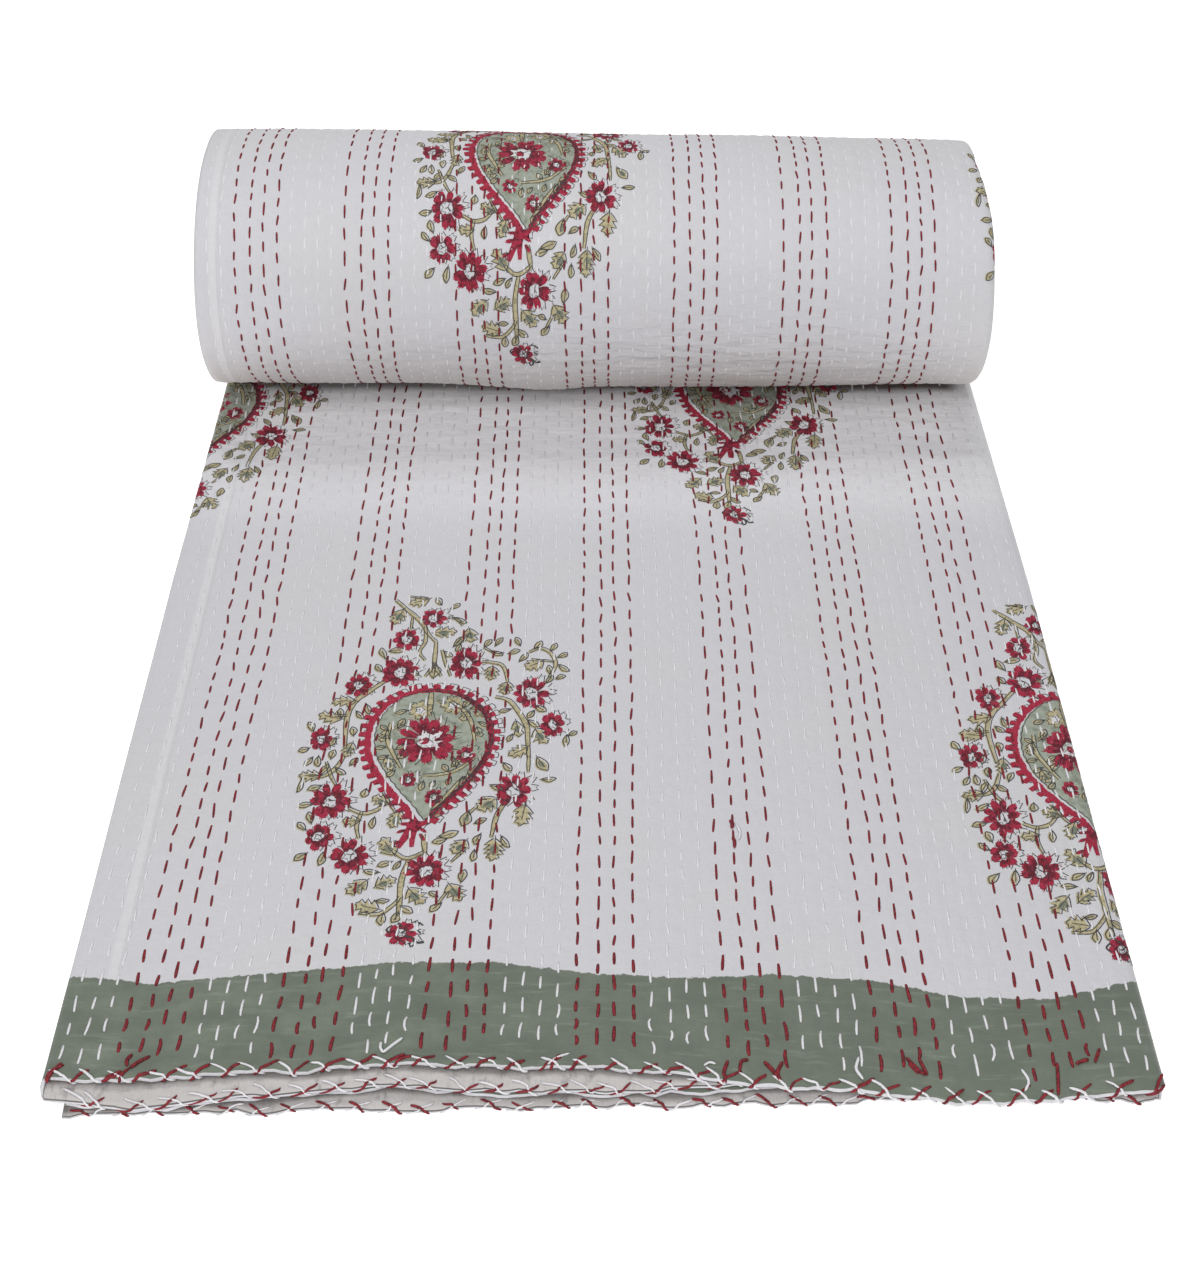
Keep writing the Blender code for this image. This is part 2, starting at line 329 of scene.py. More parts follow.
def fine_across(side, start, end, along):
    """Places across a finely divided layer, along its rows of stitches, from start to end."""
    rows = np.arange(ROWS_LEFT, ROWS_RIGHT + FINE_STEP / 2, FINE_STEP)
    inner = stitch_row(side, rows[None, :], along[:, None])
    low, high = np.minimum(start, end)[:, None], np.maximum(start, end)[:, None]
    keep = np.all((inner > low + FINE_MARGIN) & (inner < high - FINE_MARGIN), axis=0)
    inner, rows = inner[:, keep], rows[keep]
    left, right = (low + inner[:, :1]) / 2, (high + inner[:, -1:]) / 2
    columns = np.concatenate([low, left, inner, right, high], 1)
    rows = np.concatenate([[rows[0] - 0.5, rows[0] - 0.25], rows, [rows[-1] + 0.25, rows[-1] + 0.5]])
    if start[0] > end[0]:
        columns, rows = columns[:, ::-1], rows[::-1]
    return columns, np.tile(rows, (len(along), 1))


class Zone:
    """A stretch of the quilt with one set of columns: arrays of rows by columns."""

    def __init__(self, turns, fine=None, count=13):
        turns = np.asarray(turns, float)
        self.turns, self.along = turns, along_cloth(turns)
        left, side_3, side_4, right = (read_table(EDGES, turns, n) for n in (1, 2, 3, 4))
        left, right = left + SMALL_FOLD, right - LARGE_FOLD
        columns = part_columns(count)
        # Of each layer: its number, where it starts and ends, and whether its print faces up.
        ends = {
            0: (4, side_4, right, -1), 2: (1, right, left, 1),
            4: (2, left, right, -1), 6: (3, right, side_3, 1),
        }
        # Of each fold: its middle, the layers that it joins, its angles, and where its print faces.
        folds = {
            1: (right, 1, 4, -90, 90, 1), 3: (left, 1, 2, 90, 270, 1),
            5: (right, 2, 3, 90, -90, -1),
        }
        parts, self.starts, rise = [], [0], []
        for n in range(7):
            lift = None
            if n in ends:
                layer, start, end, facing = ends[n]
                if (fine, layer) in (("flat", 1), ("roll", 4)):
                    across, rows = fine_across(fine, start, end, self.along)
                    lift = relief(fine, rows, self.along[:, None])
                    edge = np.minimum(abs(across - start[:, None]), abs(across - end[:, None]))
                    lift = lift * smooth(edge / FLAT_EDGE)
                else:
                    across = start[:, None] + (end - start)[:, None] * columns[n][None, :]
                part = straight(layer, across, facing)
            else:
                x, upper, lower, first, last, facing = folds[n]
                shares = np.tile(columns[n], (len(turns), 1))
                part = bend(x[:, None], upper, lower, first, last, shares, facing)
            if lift is None:
                lift = np.zeros_like(part[0])
            if n < 6:                   # the last point of a part is the first of the next
                part, lift = [a[:, :-1] for a in part], lift[:, :-1]
            parts.append(part)
            rise.append(lift)
            self.starts.append(self.starts[-1] + lift.shape[1])
        self.starts[-1] -= 1
        self.x, self.height, self.layer, self.out_x, self.out_z = (
            np.concatenate([part[k] for part in parts], 1) for k in range(5)
        )
        self.rise = np.concatenate(rise, 1)

    def face(self, side):
        """Points of the printed face (side 1) or the backing (side -1)."""
        push = side * CLOTH / 2 + (self.rise if side == 1 else 0)
        turn = np.broadcast_to(self.turns[:, None], self.x.shape)
        return place(self.x + push * self.out_x, self.height + push * self.out_z, self.layer, turn)

    def shares(self):
        """One rising number for each column, the same in every zone at the ends of each part."""
        width = abs(np.diff(self.x[0])) + abs(np.diff(self.height[0]))
        run = np.concatenate(([0], np.cumsum(width)))
        out = np.empty(len(run))
        for n, (a, b) in enumerate(zip(self.starts, self.starts[1:])):
            out[a:b + 1] = n + (run[a:b + 1] - run[a]) / (run[b] - run[a])
        return out


def bridge(faces, one, other, at_one, at_other):
    """Triangles between two lines of points, each with rising numbers along it."""
    i = j = 0
    while i < len(one) - 1 or j < len(other) - 1:
        if j == len(other) - 1 or (i < len(one) - 1 and at_one[i + 1] <= at_other[j + 1]):
            faces.append((one[i], one[i + 1], other[j]))
            i += 1
        else:
            faces.append((one[i], other[j + 1], other[j]))
            j += 1


def cloth_zones():
    """The zones of the printed face, those of the backing, and the two fine ones that show."""
    flat_end = FLAT_SHOWN / AXIS_Y - 1
    flat = Zone(np.linspace(-1, flat_end, FLAT_LINES), "flat")
    roll = Zone(np.linspace(ROLL_FROM, ROLL_TO, ROLL_LINES), "roll")
    hem = Zone(flat.turns[:HEM_ROWS], "flat", HEM_COLUMNS)
    rest = Zone(flat.turns[HEM_ROWS:], "flat")
    under = Zone(np.linspace(flat_end, ROLL_FROM, UNDER_LINES)[1:-1])
    wound = Zone(np.arange(WOUND_FROM, LAST_TURN, 1 / TURN_LINES))
    back_hem = Zone(np.array(BACK_HEM) / AXIS_Y - 1, None, HEM_COLUMNS)
    back_wound = np.arange(1 / TURN_LINES, LAST_TURN, 1 / TURN_LINES)
    back = Zone(np.concatenate([np.array(BACK_LINES) / AXIS_Y - 1, back_wound]))
    return [hem, rest, under, roll, wound], [back_hem, back], flat, roll


def zone_marks(zone, side):
    """For each point: metres across, metres along, and how far it lies past the green border.
    On the backing the last tells instead how far it lies under the lip of the layer above."""
    along = np.broadcast_to(zone.along[:, None], zone.x.shape)
    if side == 1:
        past = np.minimum(along - read_table(HEM_SHAPE, half_widths(zone.x), 2), 0.5)
    else:
        past = BACK_MARK + LIP_SCALE * under_lip(zone)
    return np.stack([zone.x, along, past], -1).reshape(-1, 3)


def build_cloth():
    """The whole quilt as one closed mesh, and the two zones that show."""
    fronts, backs, flat, roll = cloth_zones()
    zones, count = fronts + backs, len(fronts)
    points, marks, faces, lines, first = [], [], [], [], 0
    for n, zone in enumerate(zones):
        side = 1 if n < count else -1
        grid = zone.face(side)
        rows, columns = grid.shape[:2]
        index = first + np.arange(rows * columns).reshape(rows, columns)
        a, b, c, d = index[:-1, :-1], index[:-1, 1:], index[1:, 1:], index[1:, :-1]
        cut = (a, b, d, b, c, d) if n < 2 else (a, b, c, a, c, d)       # the flat is cut as its patch
        faces.extend(np.stack(cut, -1).reshape(-1, 3).tolist())
        points.append(grid.reshape(-1, 3))
        marks.append(zone_marks(zone, side))
        lines.append(index)
        first += rows * columns
    halves = range(count), range(count, len(zones))
    for half in halves:
        for n in half[1:]:
            shares = zones[n - 1].shares(), zones[n].shares()
            bridge(faces, lines[n - 1][-1].tolist(), lines[n][0].tolist(), *shares)
    # The lip of the hem, the wound end, and the two free sides.
    hem, numbers = fronts[0], fronts[0].shares()
    line, lips, level = lines[0][0].tolist(), [], 0 * hem.x[0]
    for depth in LIP_DEPTHS:
        rim = hem_rim(hem, depth)
        index = (first + np.arange(len(rim))).tolist()
        first += len(rim)
        points.append(rim)
        marks.append(np.stack([hem.x[0], level - 0.001, level + RIM_MARK], -1))
        bridge(faces, line, index, numbers, numbers)
        lips.append((index[0], index[-1]))
        line = index
    bridge(faces, line, lines[count][0].tolist(), numbers, backs[0].shares())
    ends = lines[count - 1][-1].tolist(), lines[-1][-1].tolist()
    bridge(faces, *ends, fronts[-1].shares(), backs[-1].shares())
    turns = [np.concatenate([zones[n].turns for n in half]) for half in halves]
    for column in (0, -1):
        edges = [[i for n in half for i in lines[n][:, column].tolist()] for half in halves]
        bridge(faces, *edges, *turns)
        lip = [edges[0][0], *(pair[column] for pair in lips)]
        bridge(faces, lip, [edges[1][0]], list(range(len(lip))), [0])
    return np.concatenate(points), np.concatenate(marks), faces, flat, roll


def under_lip(zone):
    """How far back each point of a layer lies from the lip of the layer above."""
    one, two, three, four = (read_table(HEM, half_widths(zone.x), n) for n in (1, 2, 3, 4))
    lip = np.where(zone.layer < 3, one - two, three - four)
    return np.clip(zone.along[:, None] - lip, -LIP_REACH, LIP_REACH)


def hem_rim(zone, depth):
    """A line along the hem between the two faces, at this share of the depth, a little proud."""
    top, bottom = zone.face(1)[0], zone.face(-1)[0]
    line = top + (bottom - top) * depth
    line[:, 1] -= LIP_BULGE * math.sin(math.pi * depth)
    return line


# From the quilt's own places to the row frame, where the origin is under the middle.
SHIFT = np.array((
    CAD_BOX[1][0] - EDGES[0, 4],
    CAD_BOX[1][1] - (AXIS_Y + HALF_DEPTH - TURN_STEP / 4),
    0.0,
))


def add_mesh(name, points, faces, material, layers=None):
    """A smooth mesh object in the row frame, with its cloth coordinates if it has them."""
    mesh = bpy.data.meshes.new(name)
    mesh.from_pydata((np.asarray(points) + SHIFT).tolist(), [], faces)
    mesh.materials.append(material)
    if layers is not None:
        corner = np.empty(len(mesh.loops), np.int32)
        mesh.loops.foreach_get("vertex_index", corner)
        uv = mesh.uv_layers.new(name="cloth")
        uv.data.foreach_set("uv", layers[corner, :2].astype(np.float32).ravel())
        past = mesh.attributes.new("past_border", "FLOAT", "POINT")
        past.data.foreach_set("value", layers[:, 2].astype(np.float32))
    mesh.shade_smooth()
    piece = bpy.data.objects.new(name, mesh)
    bpy.context.scene.collection.objects.link(piece)
    return piece


class Nodes:
    """The nodes of one material, added and joined in short calls."""

    def __init__(self, name, roughness):
        self.material = bpy.data.materials.new(name)
        self.material.use_nodes = True
        self.tree = self.material.node_tree
        self.shader = self.tree.nodes["Principled BSDF"]
        self.shader.inputs["Roughness"].default_value = roughness

    def add(self, kind, inputs, output=0, **settings):
        """A node with these settings and inputs, which are values or other nodes' outputs."""
        node = self.tree.nodes.new(kind)
        for key, value in settings.items():
            setattr(node, key, value)
        for key, value in inputs.items():
            self.put(node, key, value)
        return node.outputs[output]

    def put(self, node, key, value):
        if isinstance(value, bpy.types.NodeSocket):
            self.tree.links.new(value, node.inputs[key])
        else:
            node.inputs[key].default_value = value

    def math(self, operation, first, *others):
        """Joins the values one after another."""
        for other in others:
            first = self.add("ShaderNodeMath", {0: first, 1: other}, operation=operation)
        return first

    def times(self, *values):
        return self.math("MULTIPLY", *values)

    def plus(self, *values):
        return self.math("ADD", *values)

    def less(self, *values):
        return self.math("SUBTRACT", *values)

    def size(self, value):
        return self.add("ShaderNodeMath", {0: value}, operation="ABSOLUTE")

    def cloud(self, at, scale, detail=2.0, roughness=0.5):
        """Smooth noise between about 0.25 and 0.75."""
        inputs = {"Vector": at, "Scale": scale, "Detail": detail, "Roughness": roughness}
        return self.add("ShaderNodeTexNoise", inputs)

    def ramp(self, value, low, high):
        """The value's place between low and high, as a soft step from 0 to 1."""
        inputs = {"Value": value, "From Min": low, "From Max": high}
        return self.add("ShaderNodeMapRange", inputs, interpolation_type="SMOOTHSTEP")

    def mix(self, share, one, other):
        inputs = {"Factor": share, 6: (*one, 1) if isinstance(one, tuple) else one}
        inputs[7] = (*other, 1) if isinstance(other, tuple) else other
        return self.add("ShaderNodeMix", inputs, 2, data_type="RGBA")

    def tint(self, colour, *tints):
        """A colour with others laid over it, each by a mask and a strength."""
        for mask, strength, other in tints:
            colour = self.mix(self.times(mask, strength), colour, other)
        return colour

    def stretch(self, at, scale):
        return self.add("ShaderNodeVectorMath", {0: at, 1: scale}, operation="MULTIPLY")

    def finish(self, colour, bump=None, depth=0.0):
        self.put(self.shader, "Base Color", colour)
        if bump is not None:
            normal = self.add("ShaderNodeBump", {"Height": bump, "Distance": depth, "Strength": 1.0})
            self.put(self.shader, "Normal", normal)
        return self.material


# Colours, as linear red, green and blue.
COTTON, COTTON_WARM = (0.668, 0.661, 0.696), (0.663, 0.651, 0.659)
# Painted light on the strip of the flat part before the roll.
PAINTED_LIGHT_COTTON = (0.84, 0.83, 0.855)
# Painted shade over the flat part and the roll's front.
PAINTED_SHADE_COTTON = (0.560, 0.555, 0.581)
# Warm painted shade low on the roll.
SHADY_COTTON = (0.540, 0.500, 0.475)
SEAM_COTTON = (0.755, 0.745, 0.750)
# Painted shadow in the crease under the roll.
CREASE_SHADE = (0.080, 0.052, 0.040)
GREEN_LIGHT, GREEN_DARK = (0.188, 0.214, 0.170), (0.129, 0.151, 0.118)
GREEN_PALE = (0.285, 0.315, 0.262)
BACKING = (0.545, 0.520, 0.510)
# Painted shade in the backing's folds, and painted shadow under each lip and under the layer above.
LIP_SHADE = (0.12, 0.105, 0.10)
BLACK = (0.0, 0.0, 0.0)
SAGE_LIGHT, SAGE_DARK = (0.345, 0.370, 0.312), (0.210, 0.238, 0.184)
OLIVE_LIGHT, OLIVE_DARK = (0.47, 0.415, 0.255), (0.28, 0.25, 0.145)
HEART = (0.165, 0.185, 0.145)
CRIMSON, WINE, FADED = (0.34, 0.017, 0.046), (0.10, 0.008, 0.018), (0.50, 0.13, 0.19)
OUTLINE = (0.048, 0.045, 0.045)
RED_THREAD, RED_THREAD_DARK = (0.245, 0.012, 0.021), (0.105, 0.007, 0.011)
WHITE_THREAD = (0.74, 0.73, 0.75)
FLOOR_WHITE, FLOOR_GLOW = (0.95, 0.95, 0.95), 0.50

# Where a look comes in along the cloth, in metres from the hem. Painted light lies before the roll, a
# painted shadow in the crease, and painted shade on the roll's front and low on it.
ON_ROLL = (0.655, 0.665)
BEFORE_ROLL, PAINTED_LIGHT_BEFORE_ROLL = (0.40, 0.60), (0.44, 0.57)
CREASE = (0.6225, 0.6330)
ROLL_FRONT, ROLL_FRONT_END = (0.94, 1.02), (1.20, 1.12)
LOW_ON_ROLL, CRUMPLED = (1.10, 1.21), (1.03, 1.17)
# The marks of the backing and of the lip, which gets a painted shadow line, and where the backing meets the
# layer above, which gets a painted shadow.
BACK_SHOWN, LIP_SHOWN, LIP_HIDDEN = (2.0, 4.0), (0.8, 1.6), (4.6, 3.8)
UNDER_LIP = (4.965, 5.0)
# Depths of the bumps, in metres.
WEAVE_DEPTH, LINT_DEPTH, CRUMPLE_DEPTH = 0.00010, 0.0005, 0.0042
FOLD_DEPTH, GROOVE_DEPTH = 0.0022, 0.0003


def green_border(nodes, at, across, past):
    """The sage green, darker at the hem and to the right, with pale creases along the hem."""
    cloudy = nodes.cloud(nodes.stretch(at, (1.0, 1.8, 1)), 26, 4, 0.55)
    creases = nodes.cloud(nodes.stretch(at, (0.22, 1.6, 1)), 150, 3, 0.6)
    rim = nodes.times(nodes.ramp(past, -0.010, -0.001), nodes.ramp(cloudy, 0.4, 0.62))
    return nodes.tint(
        nodes.mix(nodes.ramp(cloudy, 0.3, 0.7), GREEN_LIGHT, GREEN_DARK),
        (nodes.ramp(nodes.cloud(at, 130, 4, 0.65), 0.42, 0.64), 0.35, GREEN_DARK),
        (rim, 0.55, GREEN_DARK),
        (nodes.ramp(across, -0.26, 0.12), 0.45, GREEN_DARK),
        (nodes.ramp(creases, 0.54, 0.70), 0.30, GREEN_PALE),
    )


def plain_cotton(nodes, at, across, along, past, flat):
    """The white cotton, with painted shade over the flat part and the roll's front, painted light
    on the strip before the roll, warm painted shade low on the roll and a painted shadow in the crease
    before it, and the groove of the seam on the left, which has a pale band beside it."""
    seam = nodes.less(ROLL_SEAM, nodes.times(flat, ROLL_SEAM - FLAT_SEAM))
    beside = nodes.less(across, seam)
    band = nodes.times(nodes.ramp(beside, -0.0070, -0.0050), nodes.ramp(beside, 0.0002, -0.0010))
    groove = nodes.less(1, nodes.ramp(nodes.size(beside), 0.0003, 0.0013))
    groove = nodes.times(groove, nodes.ramp(past, 0.0, 0.01))
    # The painted shadow in the crease fades out near the sides and is stronger to the right.
    sides = nodes.ramp(nodes.size(across), 0.276, 0.262)
    darker = nodes.plus(0.70, nodes.times(nodes.ramp(across, -0.05, 0.10), 0.25))
    # Where painted shade lies on the roll's front.
    front = nodes.times(nodes.ramp(along, *ROLL_FRONT), nodes.ramp(along, *ROLL_FRONT_END))
    # Painted shade over the flat part and the roll's front, painted light before the roll, warm painted
    # shade low on the roll, and a painted shadow in the crease.
    cotton = nodes.tint(
        nodes.mix(nodes.ramp(nodes.cloud(at, 9, 3), 0.42, 0.72), COTTON, COTTON_WARM),
        (flat, 0.6, PAINTED_SHADE_COTTON),
        (nodes.times(nodes.ramp(along, *PAINTED_LIGHT_BEFORE_ROLL), flat), 0.8, PAINTED_LIGHT_COTTON),
        (nodes.ramp(along, *LOW_ON_ROLL), 0.9, SHADY_COTTON),
        (front, 0.5, PAINTED_SHADE_COTTON),
        (band, 0.35, SEAM_COTTON),
        (groove, nodes.plus(0.08, nodes.times(flat, 0.10)), BACKING),
        (nodes.times(nodes.ramp(along, *CREASE), flat, sides), darker, CREASE_SHADE),
    )
    return cotton, groove


def cloth_material():
    """White cotton with a sage band at the hem, a fine weave, and a plain backing."""
    nodes = Nodes("printed_cloth", 0.92)
    nodes.put(nodes.shader, "Sheen Weight", 0.30)
    nodes.put(nodes.shader, "Sheen Roughness", 0.45)
    at = nodes.add("ShaderNodeUVMap", {}, uv_map="cloth")
    across = nodes.add("ShaderNodeSeparateXYZ", {"Vector": at})
    along = nodes.add("ShaderNodeSeparateXYZ", {"Vector": at}, 1)
    past = nodes.add("ShaderNodeAttribute", {}, 2, attribute_name="past_border")
    flat = nodes.less(1, nodes.ramp(along, *ON_ROLL))

    def uneven(scale, detail, reach):
        return nodes.times(nodes.less(nodes.cloud(at, scale, detail, 0.6), 0.5), reach)

    # The printed face: the border's edge is ragged.
    green = green_border(nodes, at, across, past)
    cotton, groove = plain_cotton(nodes, at, across, along, past, flat)
    edge = nodes.plus(past, uneven(260, 3, 0.0040), uneven(30, 2, 0.0035))
    printed = nodes.mix(nodes.ramp(edge, -0.0004, 0.0004), green, cotton)
    # The backing, with painted shade in its folds and a painted shadow close under the layer above.
    folds = nodes.cloud(nodes.stretch(at, (1.0, 0.4, 1)), 120, 3, 0.6)
    backing = nodes.tint(
        BACKING,
        (nodes.ramp(folds, 0.54, 0.68), 0.40, LIP_SHADE),
        (nodes.ramp(past, *UNDER_LIP), 0.65, LIP_SHADE),
    )
    on_back = nodes.ramp(past, *BACK_SHOWN)
    # A thin painted shadow line along the lower edge of each lip.
    lip = nodes.times(nodes.ramp(past, *LIP_SHOWN), nodes.ramp(past, *LIP_HIDDEN))
    colour = nodes.tint(nodes.mix(on_back, printed, backing), (lip, 0.9, LIP_SHADE))
    slubs = (nodes.stretch(at, (1.0, 0.08, 1)), nodes.stretch(at, (0.08, 1.0, 1)))
    weave = nodes.plus(*(nodes.cloud(slub, 1500, 2) for slub in slubs))
    colour = nodes.tint(colour, (nodes.ramp(weave, 0.7, 1.3), 0.12, nodes.mix(0.45, colour, BLACK)))
    # Crumples low on the roll, weaker ones before it, and others over the backing at the hem.
    crumple = nodes.cloud(nodes.stretch(at, (0.26, 1.0, 1)), 105, 4, 0.55)
    right = nodes.plus(0.45, nodes.times(nodes.ramp(across, -0.12, 0.08), 0.55))
    before = nodes.times(nodes.ramp(along, *BEFORE_ROLL), flat, 0.4)
    strength = nodes.plus(nodes.times(nodes.ramp(along, *CRUMPLED), right), before)
    bump = nodes.plus(
        nodes.times(weave, WEAVE_DEPTH),
        nodes.times(nodes.cloud(at, 130, 3), LINT_DEPTH),
        nodes.times(crumple, strength, CRUMPLE_DEPTH),
        nodes.times(folds, on_back, FOLD_DEPTH),
    )
    return nodes.finish(colour, nodes.less(bump, nodes.times(groove, GROOVE_DEPTH)), 1.0)


def ink_material(name, one, other, low, high, base=0.0, faded=None, scale=420):
    """Ink that took unevenly. Where base is above 0 it is darker near the foot of each shape."""
    nodes = Nodes(name, 0.9)
    at = nodes.add("ShaderNodeTexCoord", {}, 3)
    value = nodes.cloud(at, scale, 3, 0.65)
    if base:
        stroke = nodes.add("ShaderNodeAttribute", {}, 1, attribute_name="stroke")
        stroke = nodes.add("ShaderNodeSeparateXYZ", {"Vector": stroke})
        value = nodes.plus(value, nodes.times(nodes.less(0.75, stroke), base))
    colour = nodes.mix(nodes.ramp(value, low, high), one, other)
    if faded:
        dry = nodes.ramp(nodes.cloud(nodes.stretch(at, (1.0, 0.5, 0.5)), 800, 3, 0.7), 0.57, 0.68)
        colour = nodes.tint(colour, (dry, 0.55, faded))
    return nodes.finish(colour)


def thread_material(name, light, dark):
    nodes = Nodes(name, 0.75)
    at = nodes.add("ShaderNodeTexCoord", {}, 3)
    colour = nodes.mix(nodes.ramp(nodes.cloud(at, 700, 2), 0.42, 0.62), light, dark)
    return nodes.finish(colour)


def floor_material():
    """White paper, a little bright by itself, as the photo's background has no shade."""
    nodes = Nodes("floor_white", 0.9)
    nodes.put(nodes.shader, "Emission Color", (1, 1, 1, 1))
    nodes.put(nodes.shader, "Emission Strength", FLOOR_GLOW)
    return nodes.finish((*FLOOR_WHITE, 1))


def add_cloth():
    """The quilt's one piece. Gives back the two zones that show."""
    points, marks, faces, flat, roll = build_cloth()
    piece = add_mesh("quilt_cloth", points, faces, cloth_material(), marks)
    bm = bmesh.new()
    bm.from_mesh(piece.data)
    bmesh.ops.recalc_face_normals(bm, faces=bm.faces)
    bm.to_mesh(piece.data)
    bm.free()
    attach(piece, "root")
    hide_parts("quilt")
    return flat, roll


# ---------------------------------------------------------------- places on the cloth that shows
class Patch:
    """The printed face of a zone where it shows. Across and along are metres on the cloth."""

    def __init__(self, zone, parts, unrolled, outward):
        keep = slice(zone.starts[parts[0]], zone.starts[parts[-1] + 1] + 1)
        self.along, self.across, self.points = zone.along, unrolled[:, keep], zone.face(1)[:, keep]
        if self.across[0, 0] > self.across[0, -1]:
            self.across, self.points = self.across[:, ::-1], self.points[:, ::-1]
        normals = np.cross(np.gradient(self.points, axis=1), np.gradient(self.points, axis=0)) * outward
        self.normals = normals / np.linalg.norm(normals, axis=2, keepdims=True)

    def at(self, across, along, lift=0.0):
        """Points over these places, the normals there, and which places lie on the patch."""
        across, along, lift = (a.ravel() for a in np.broadcast_arrays(across, along, lift))
        row = np.interp(along, self.along, np.arange(len(self.along)))
        j = np.clip(np.floor(row).astype(int), 0, len(self.along) - 2)
        f = row - j
        index = np.arange(self.across.shape[1])
        column = np.empty_like(row)
        for n in np.unique(j):
            here = j == n
            low = np.interp(across[here], self.across[n], index)
            high = np.interp(across[here], self.across[n + 1], index)
            column[here] = low + (high - low) * f[here]
        i = np.clip(np.floor(column).astype(int), 0, len(index) - 2)
        c = column - i
        more = np.maximum(c - f, 0)[:, None]        # the two triangles of each cell of the grid
        less = np.maximum(f - c, 0)[:, None]
        both = np.minimum(c, f)[:, None]
        rest = 1 - np.maximum(c, f)[:, None]

        def read(grid):
            near = grid[j, i] * rest + grid[j, i + 1] * more
            return near + grid[j + 1, i] * less + grid[j + 1, i + 1] * both

        normals = read(self.normals)
        normals /= np.linalg.norm(normals, axis=1, keepdims=True)
        inside = (along > self.along[0]) & (along < self.along[-1])
        inside &= (column > 0) & (column < index[-1])
        return read(self.points) + normals * lift[:, None], normals, inside


def make_patches(flat, roll):
    """The flat part's top layer with both its folds, and the roll's outer layer with its fold."""
    large, small = (np.pi * part_columns()[n][None, :] for n in (1, 3))
    across = flat.x.copy()
    a, b = flat.starts[1:3]
    across[:, a:b + 1] = flat.x[:, b:b + 1] + LARGE_FOLD * (np.pi - large)
    a, b = flat.starts[3:5]
    across[:, a:b + 1] = flat.x[:, a:a + 1] - SMALL_FOLD * small
    top = Patch(flat, (1, 2, 3), across, 1)
    across = roll.x.copy()
    a, b = roll.starts[1:3]
    across[:, a:b + 1] = roll.x[:, a:a + 1] + LARGE_FOLD * large
    return {"flat": top, "roll": Patch(roll, (0, 1), across, -1)}


# ---------------------------------------------------------------- the stitches
STITCH = 0.0096             # a running stitch on the printed face, and the gap to the next
STITCH_GAP = 0.0062
FIRST_FROM_HEM = 0.007
ROLL_STITCHED = (0.07, 0.965)                   # the turns between which the roll has stitches
LEAN, DRIFT = 0.00028, 0.00018                  # how far a stitch leans and lies off its row
THREAD = 0.0014             # thread lying flat on the quilt
HEM_THREAD = {"red": 0.0019, "white": 0.0015}       # the slack, thicker looking thread near the hem
WHITE_SUNK = {"flat": 0.13, "roll": 0.25}       # how deep in the cotton the white ones lie, in widths
SUNK_FROM = 0.06            # but not nearer the hem than this
FLAT_THREAD, HEM_ROUND = 0.55, 0.8              # how thick a thread is for its width
ROLL_TIGHT, LOW_TIGHTER = 0.88, 0.16            # the roll's stitches are shorter, most of all below
HEM_BOW = 0.0007            # how far the stitches nearest the hem bow out to a side
# Where these go out, or come in on the roll, in metres from the hem, and over what reach.
THICK_NEAR_HEM, BOWED_NEAR_HEM, LOW_FROM = (0.055, 0.05), (0.02, 0.03), (1.08, 0.08)
FIRST_STITCH = -0.281       # no stitch runs over the small fold on the left
TUBE_SIDES = 6
# The stations of a running stitch: shares of its length, heights in thread widths, and girths.
STATIONS = np.array((0, 0.07, 0.3, 0.65, 0.93, 1))
HEIGHTS = np.array((-0.30, 0.08, 0.22, 0.22, 0.08, -0.30))
GIRTHS = np.array((0.4, 0.8, 1.05, 1.0, 0.8, 0.4))


def add_threads(name, centres, normals, width, material, thick=HEM_ROUND):
    """Many short threads as one mesh: arrays of threads by stations, and a width for each station."""
    ahead = np.gradient(centres, axis=1)
    ahead /= np.linalg.norm(ahead, axis=2, keepdims=True)
    side = np.cross(ahead, normals)
    side /= np.linalg.norm(side, axis=2, keepdims=True)
    up = np.cross(side, ahead)
    angle = np.arange(TUBE_SIDES) / TUBE_SIDES * math.tau
    half = (width / 2)[:, :, None, None]
    ring = centres[:, :, None] + half * (
        side[:, :, None] * np.cos(angle)[:, None] + thick * up[:, :, None] * np.sin(angle)[:, None]
    )
    count, stations = centres.shape[:2]
    index = np.arange(count * stations * TUBE_SIDES).reshape(count, stations, TUBE_SIDES)
    a, b = index[:, :-1], index[:, 1:]
    quads = np.stack([a, b, np.roll(b, -1, 2), np.roll(a, -1, 2)], -1).reshape(-1, 4)
    faces = quads.tolist() + index[:, 0].tolist() + index[:, -1, ::-1].tolist()
    finish(add_mesh(name, ring.reshape(-1, 3), faces, material))


def finish(piece):
    """A piece that lies on the quilt: it rides with it."""
    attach(piece, "root")


def thread_width(side, thread, along):
    near_hem = 1 - fade(along, *THICK_NEAR_HEM) if side == "flat" else 0 * along
    return THREAD + (HEM_THREAD[thread] - THREAD) * near_hem


def running_stitches(side, first, last, seed):
    """Row, start, length, lean, drift and bow of all the running stitches on one side."""
    rng = np.random.default_rng(seed)
    found = []
    for row in range(ROWS_LEFT, ROWS_RIGHT + 1):
        at = first + rng.uniform(0, STITCH + STITCH_GAP)
        pace = rng.uniform(0.88, 1.12)
        while at < last:
            tight = pace
            if side == "roll":
                tight = pace * (ROLL_TIGHT - LOW_TIGHTER * fade(at, *LOW_FROM))
            length = STITCH * tight * rng.uniform(0.75, 1.25)
            slips = rng.normal(0, LEAN), rng.normal(0, DRIFT), rng.normal(0, 1)
            found.append((row, at, min(length, last - at + 0.001), *slips))
            at += length + STITCH_GAP * tight * rng.uniform(0.7, 1.35)
    return np.array(found)


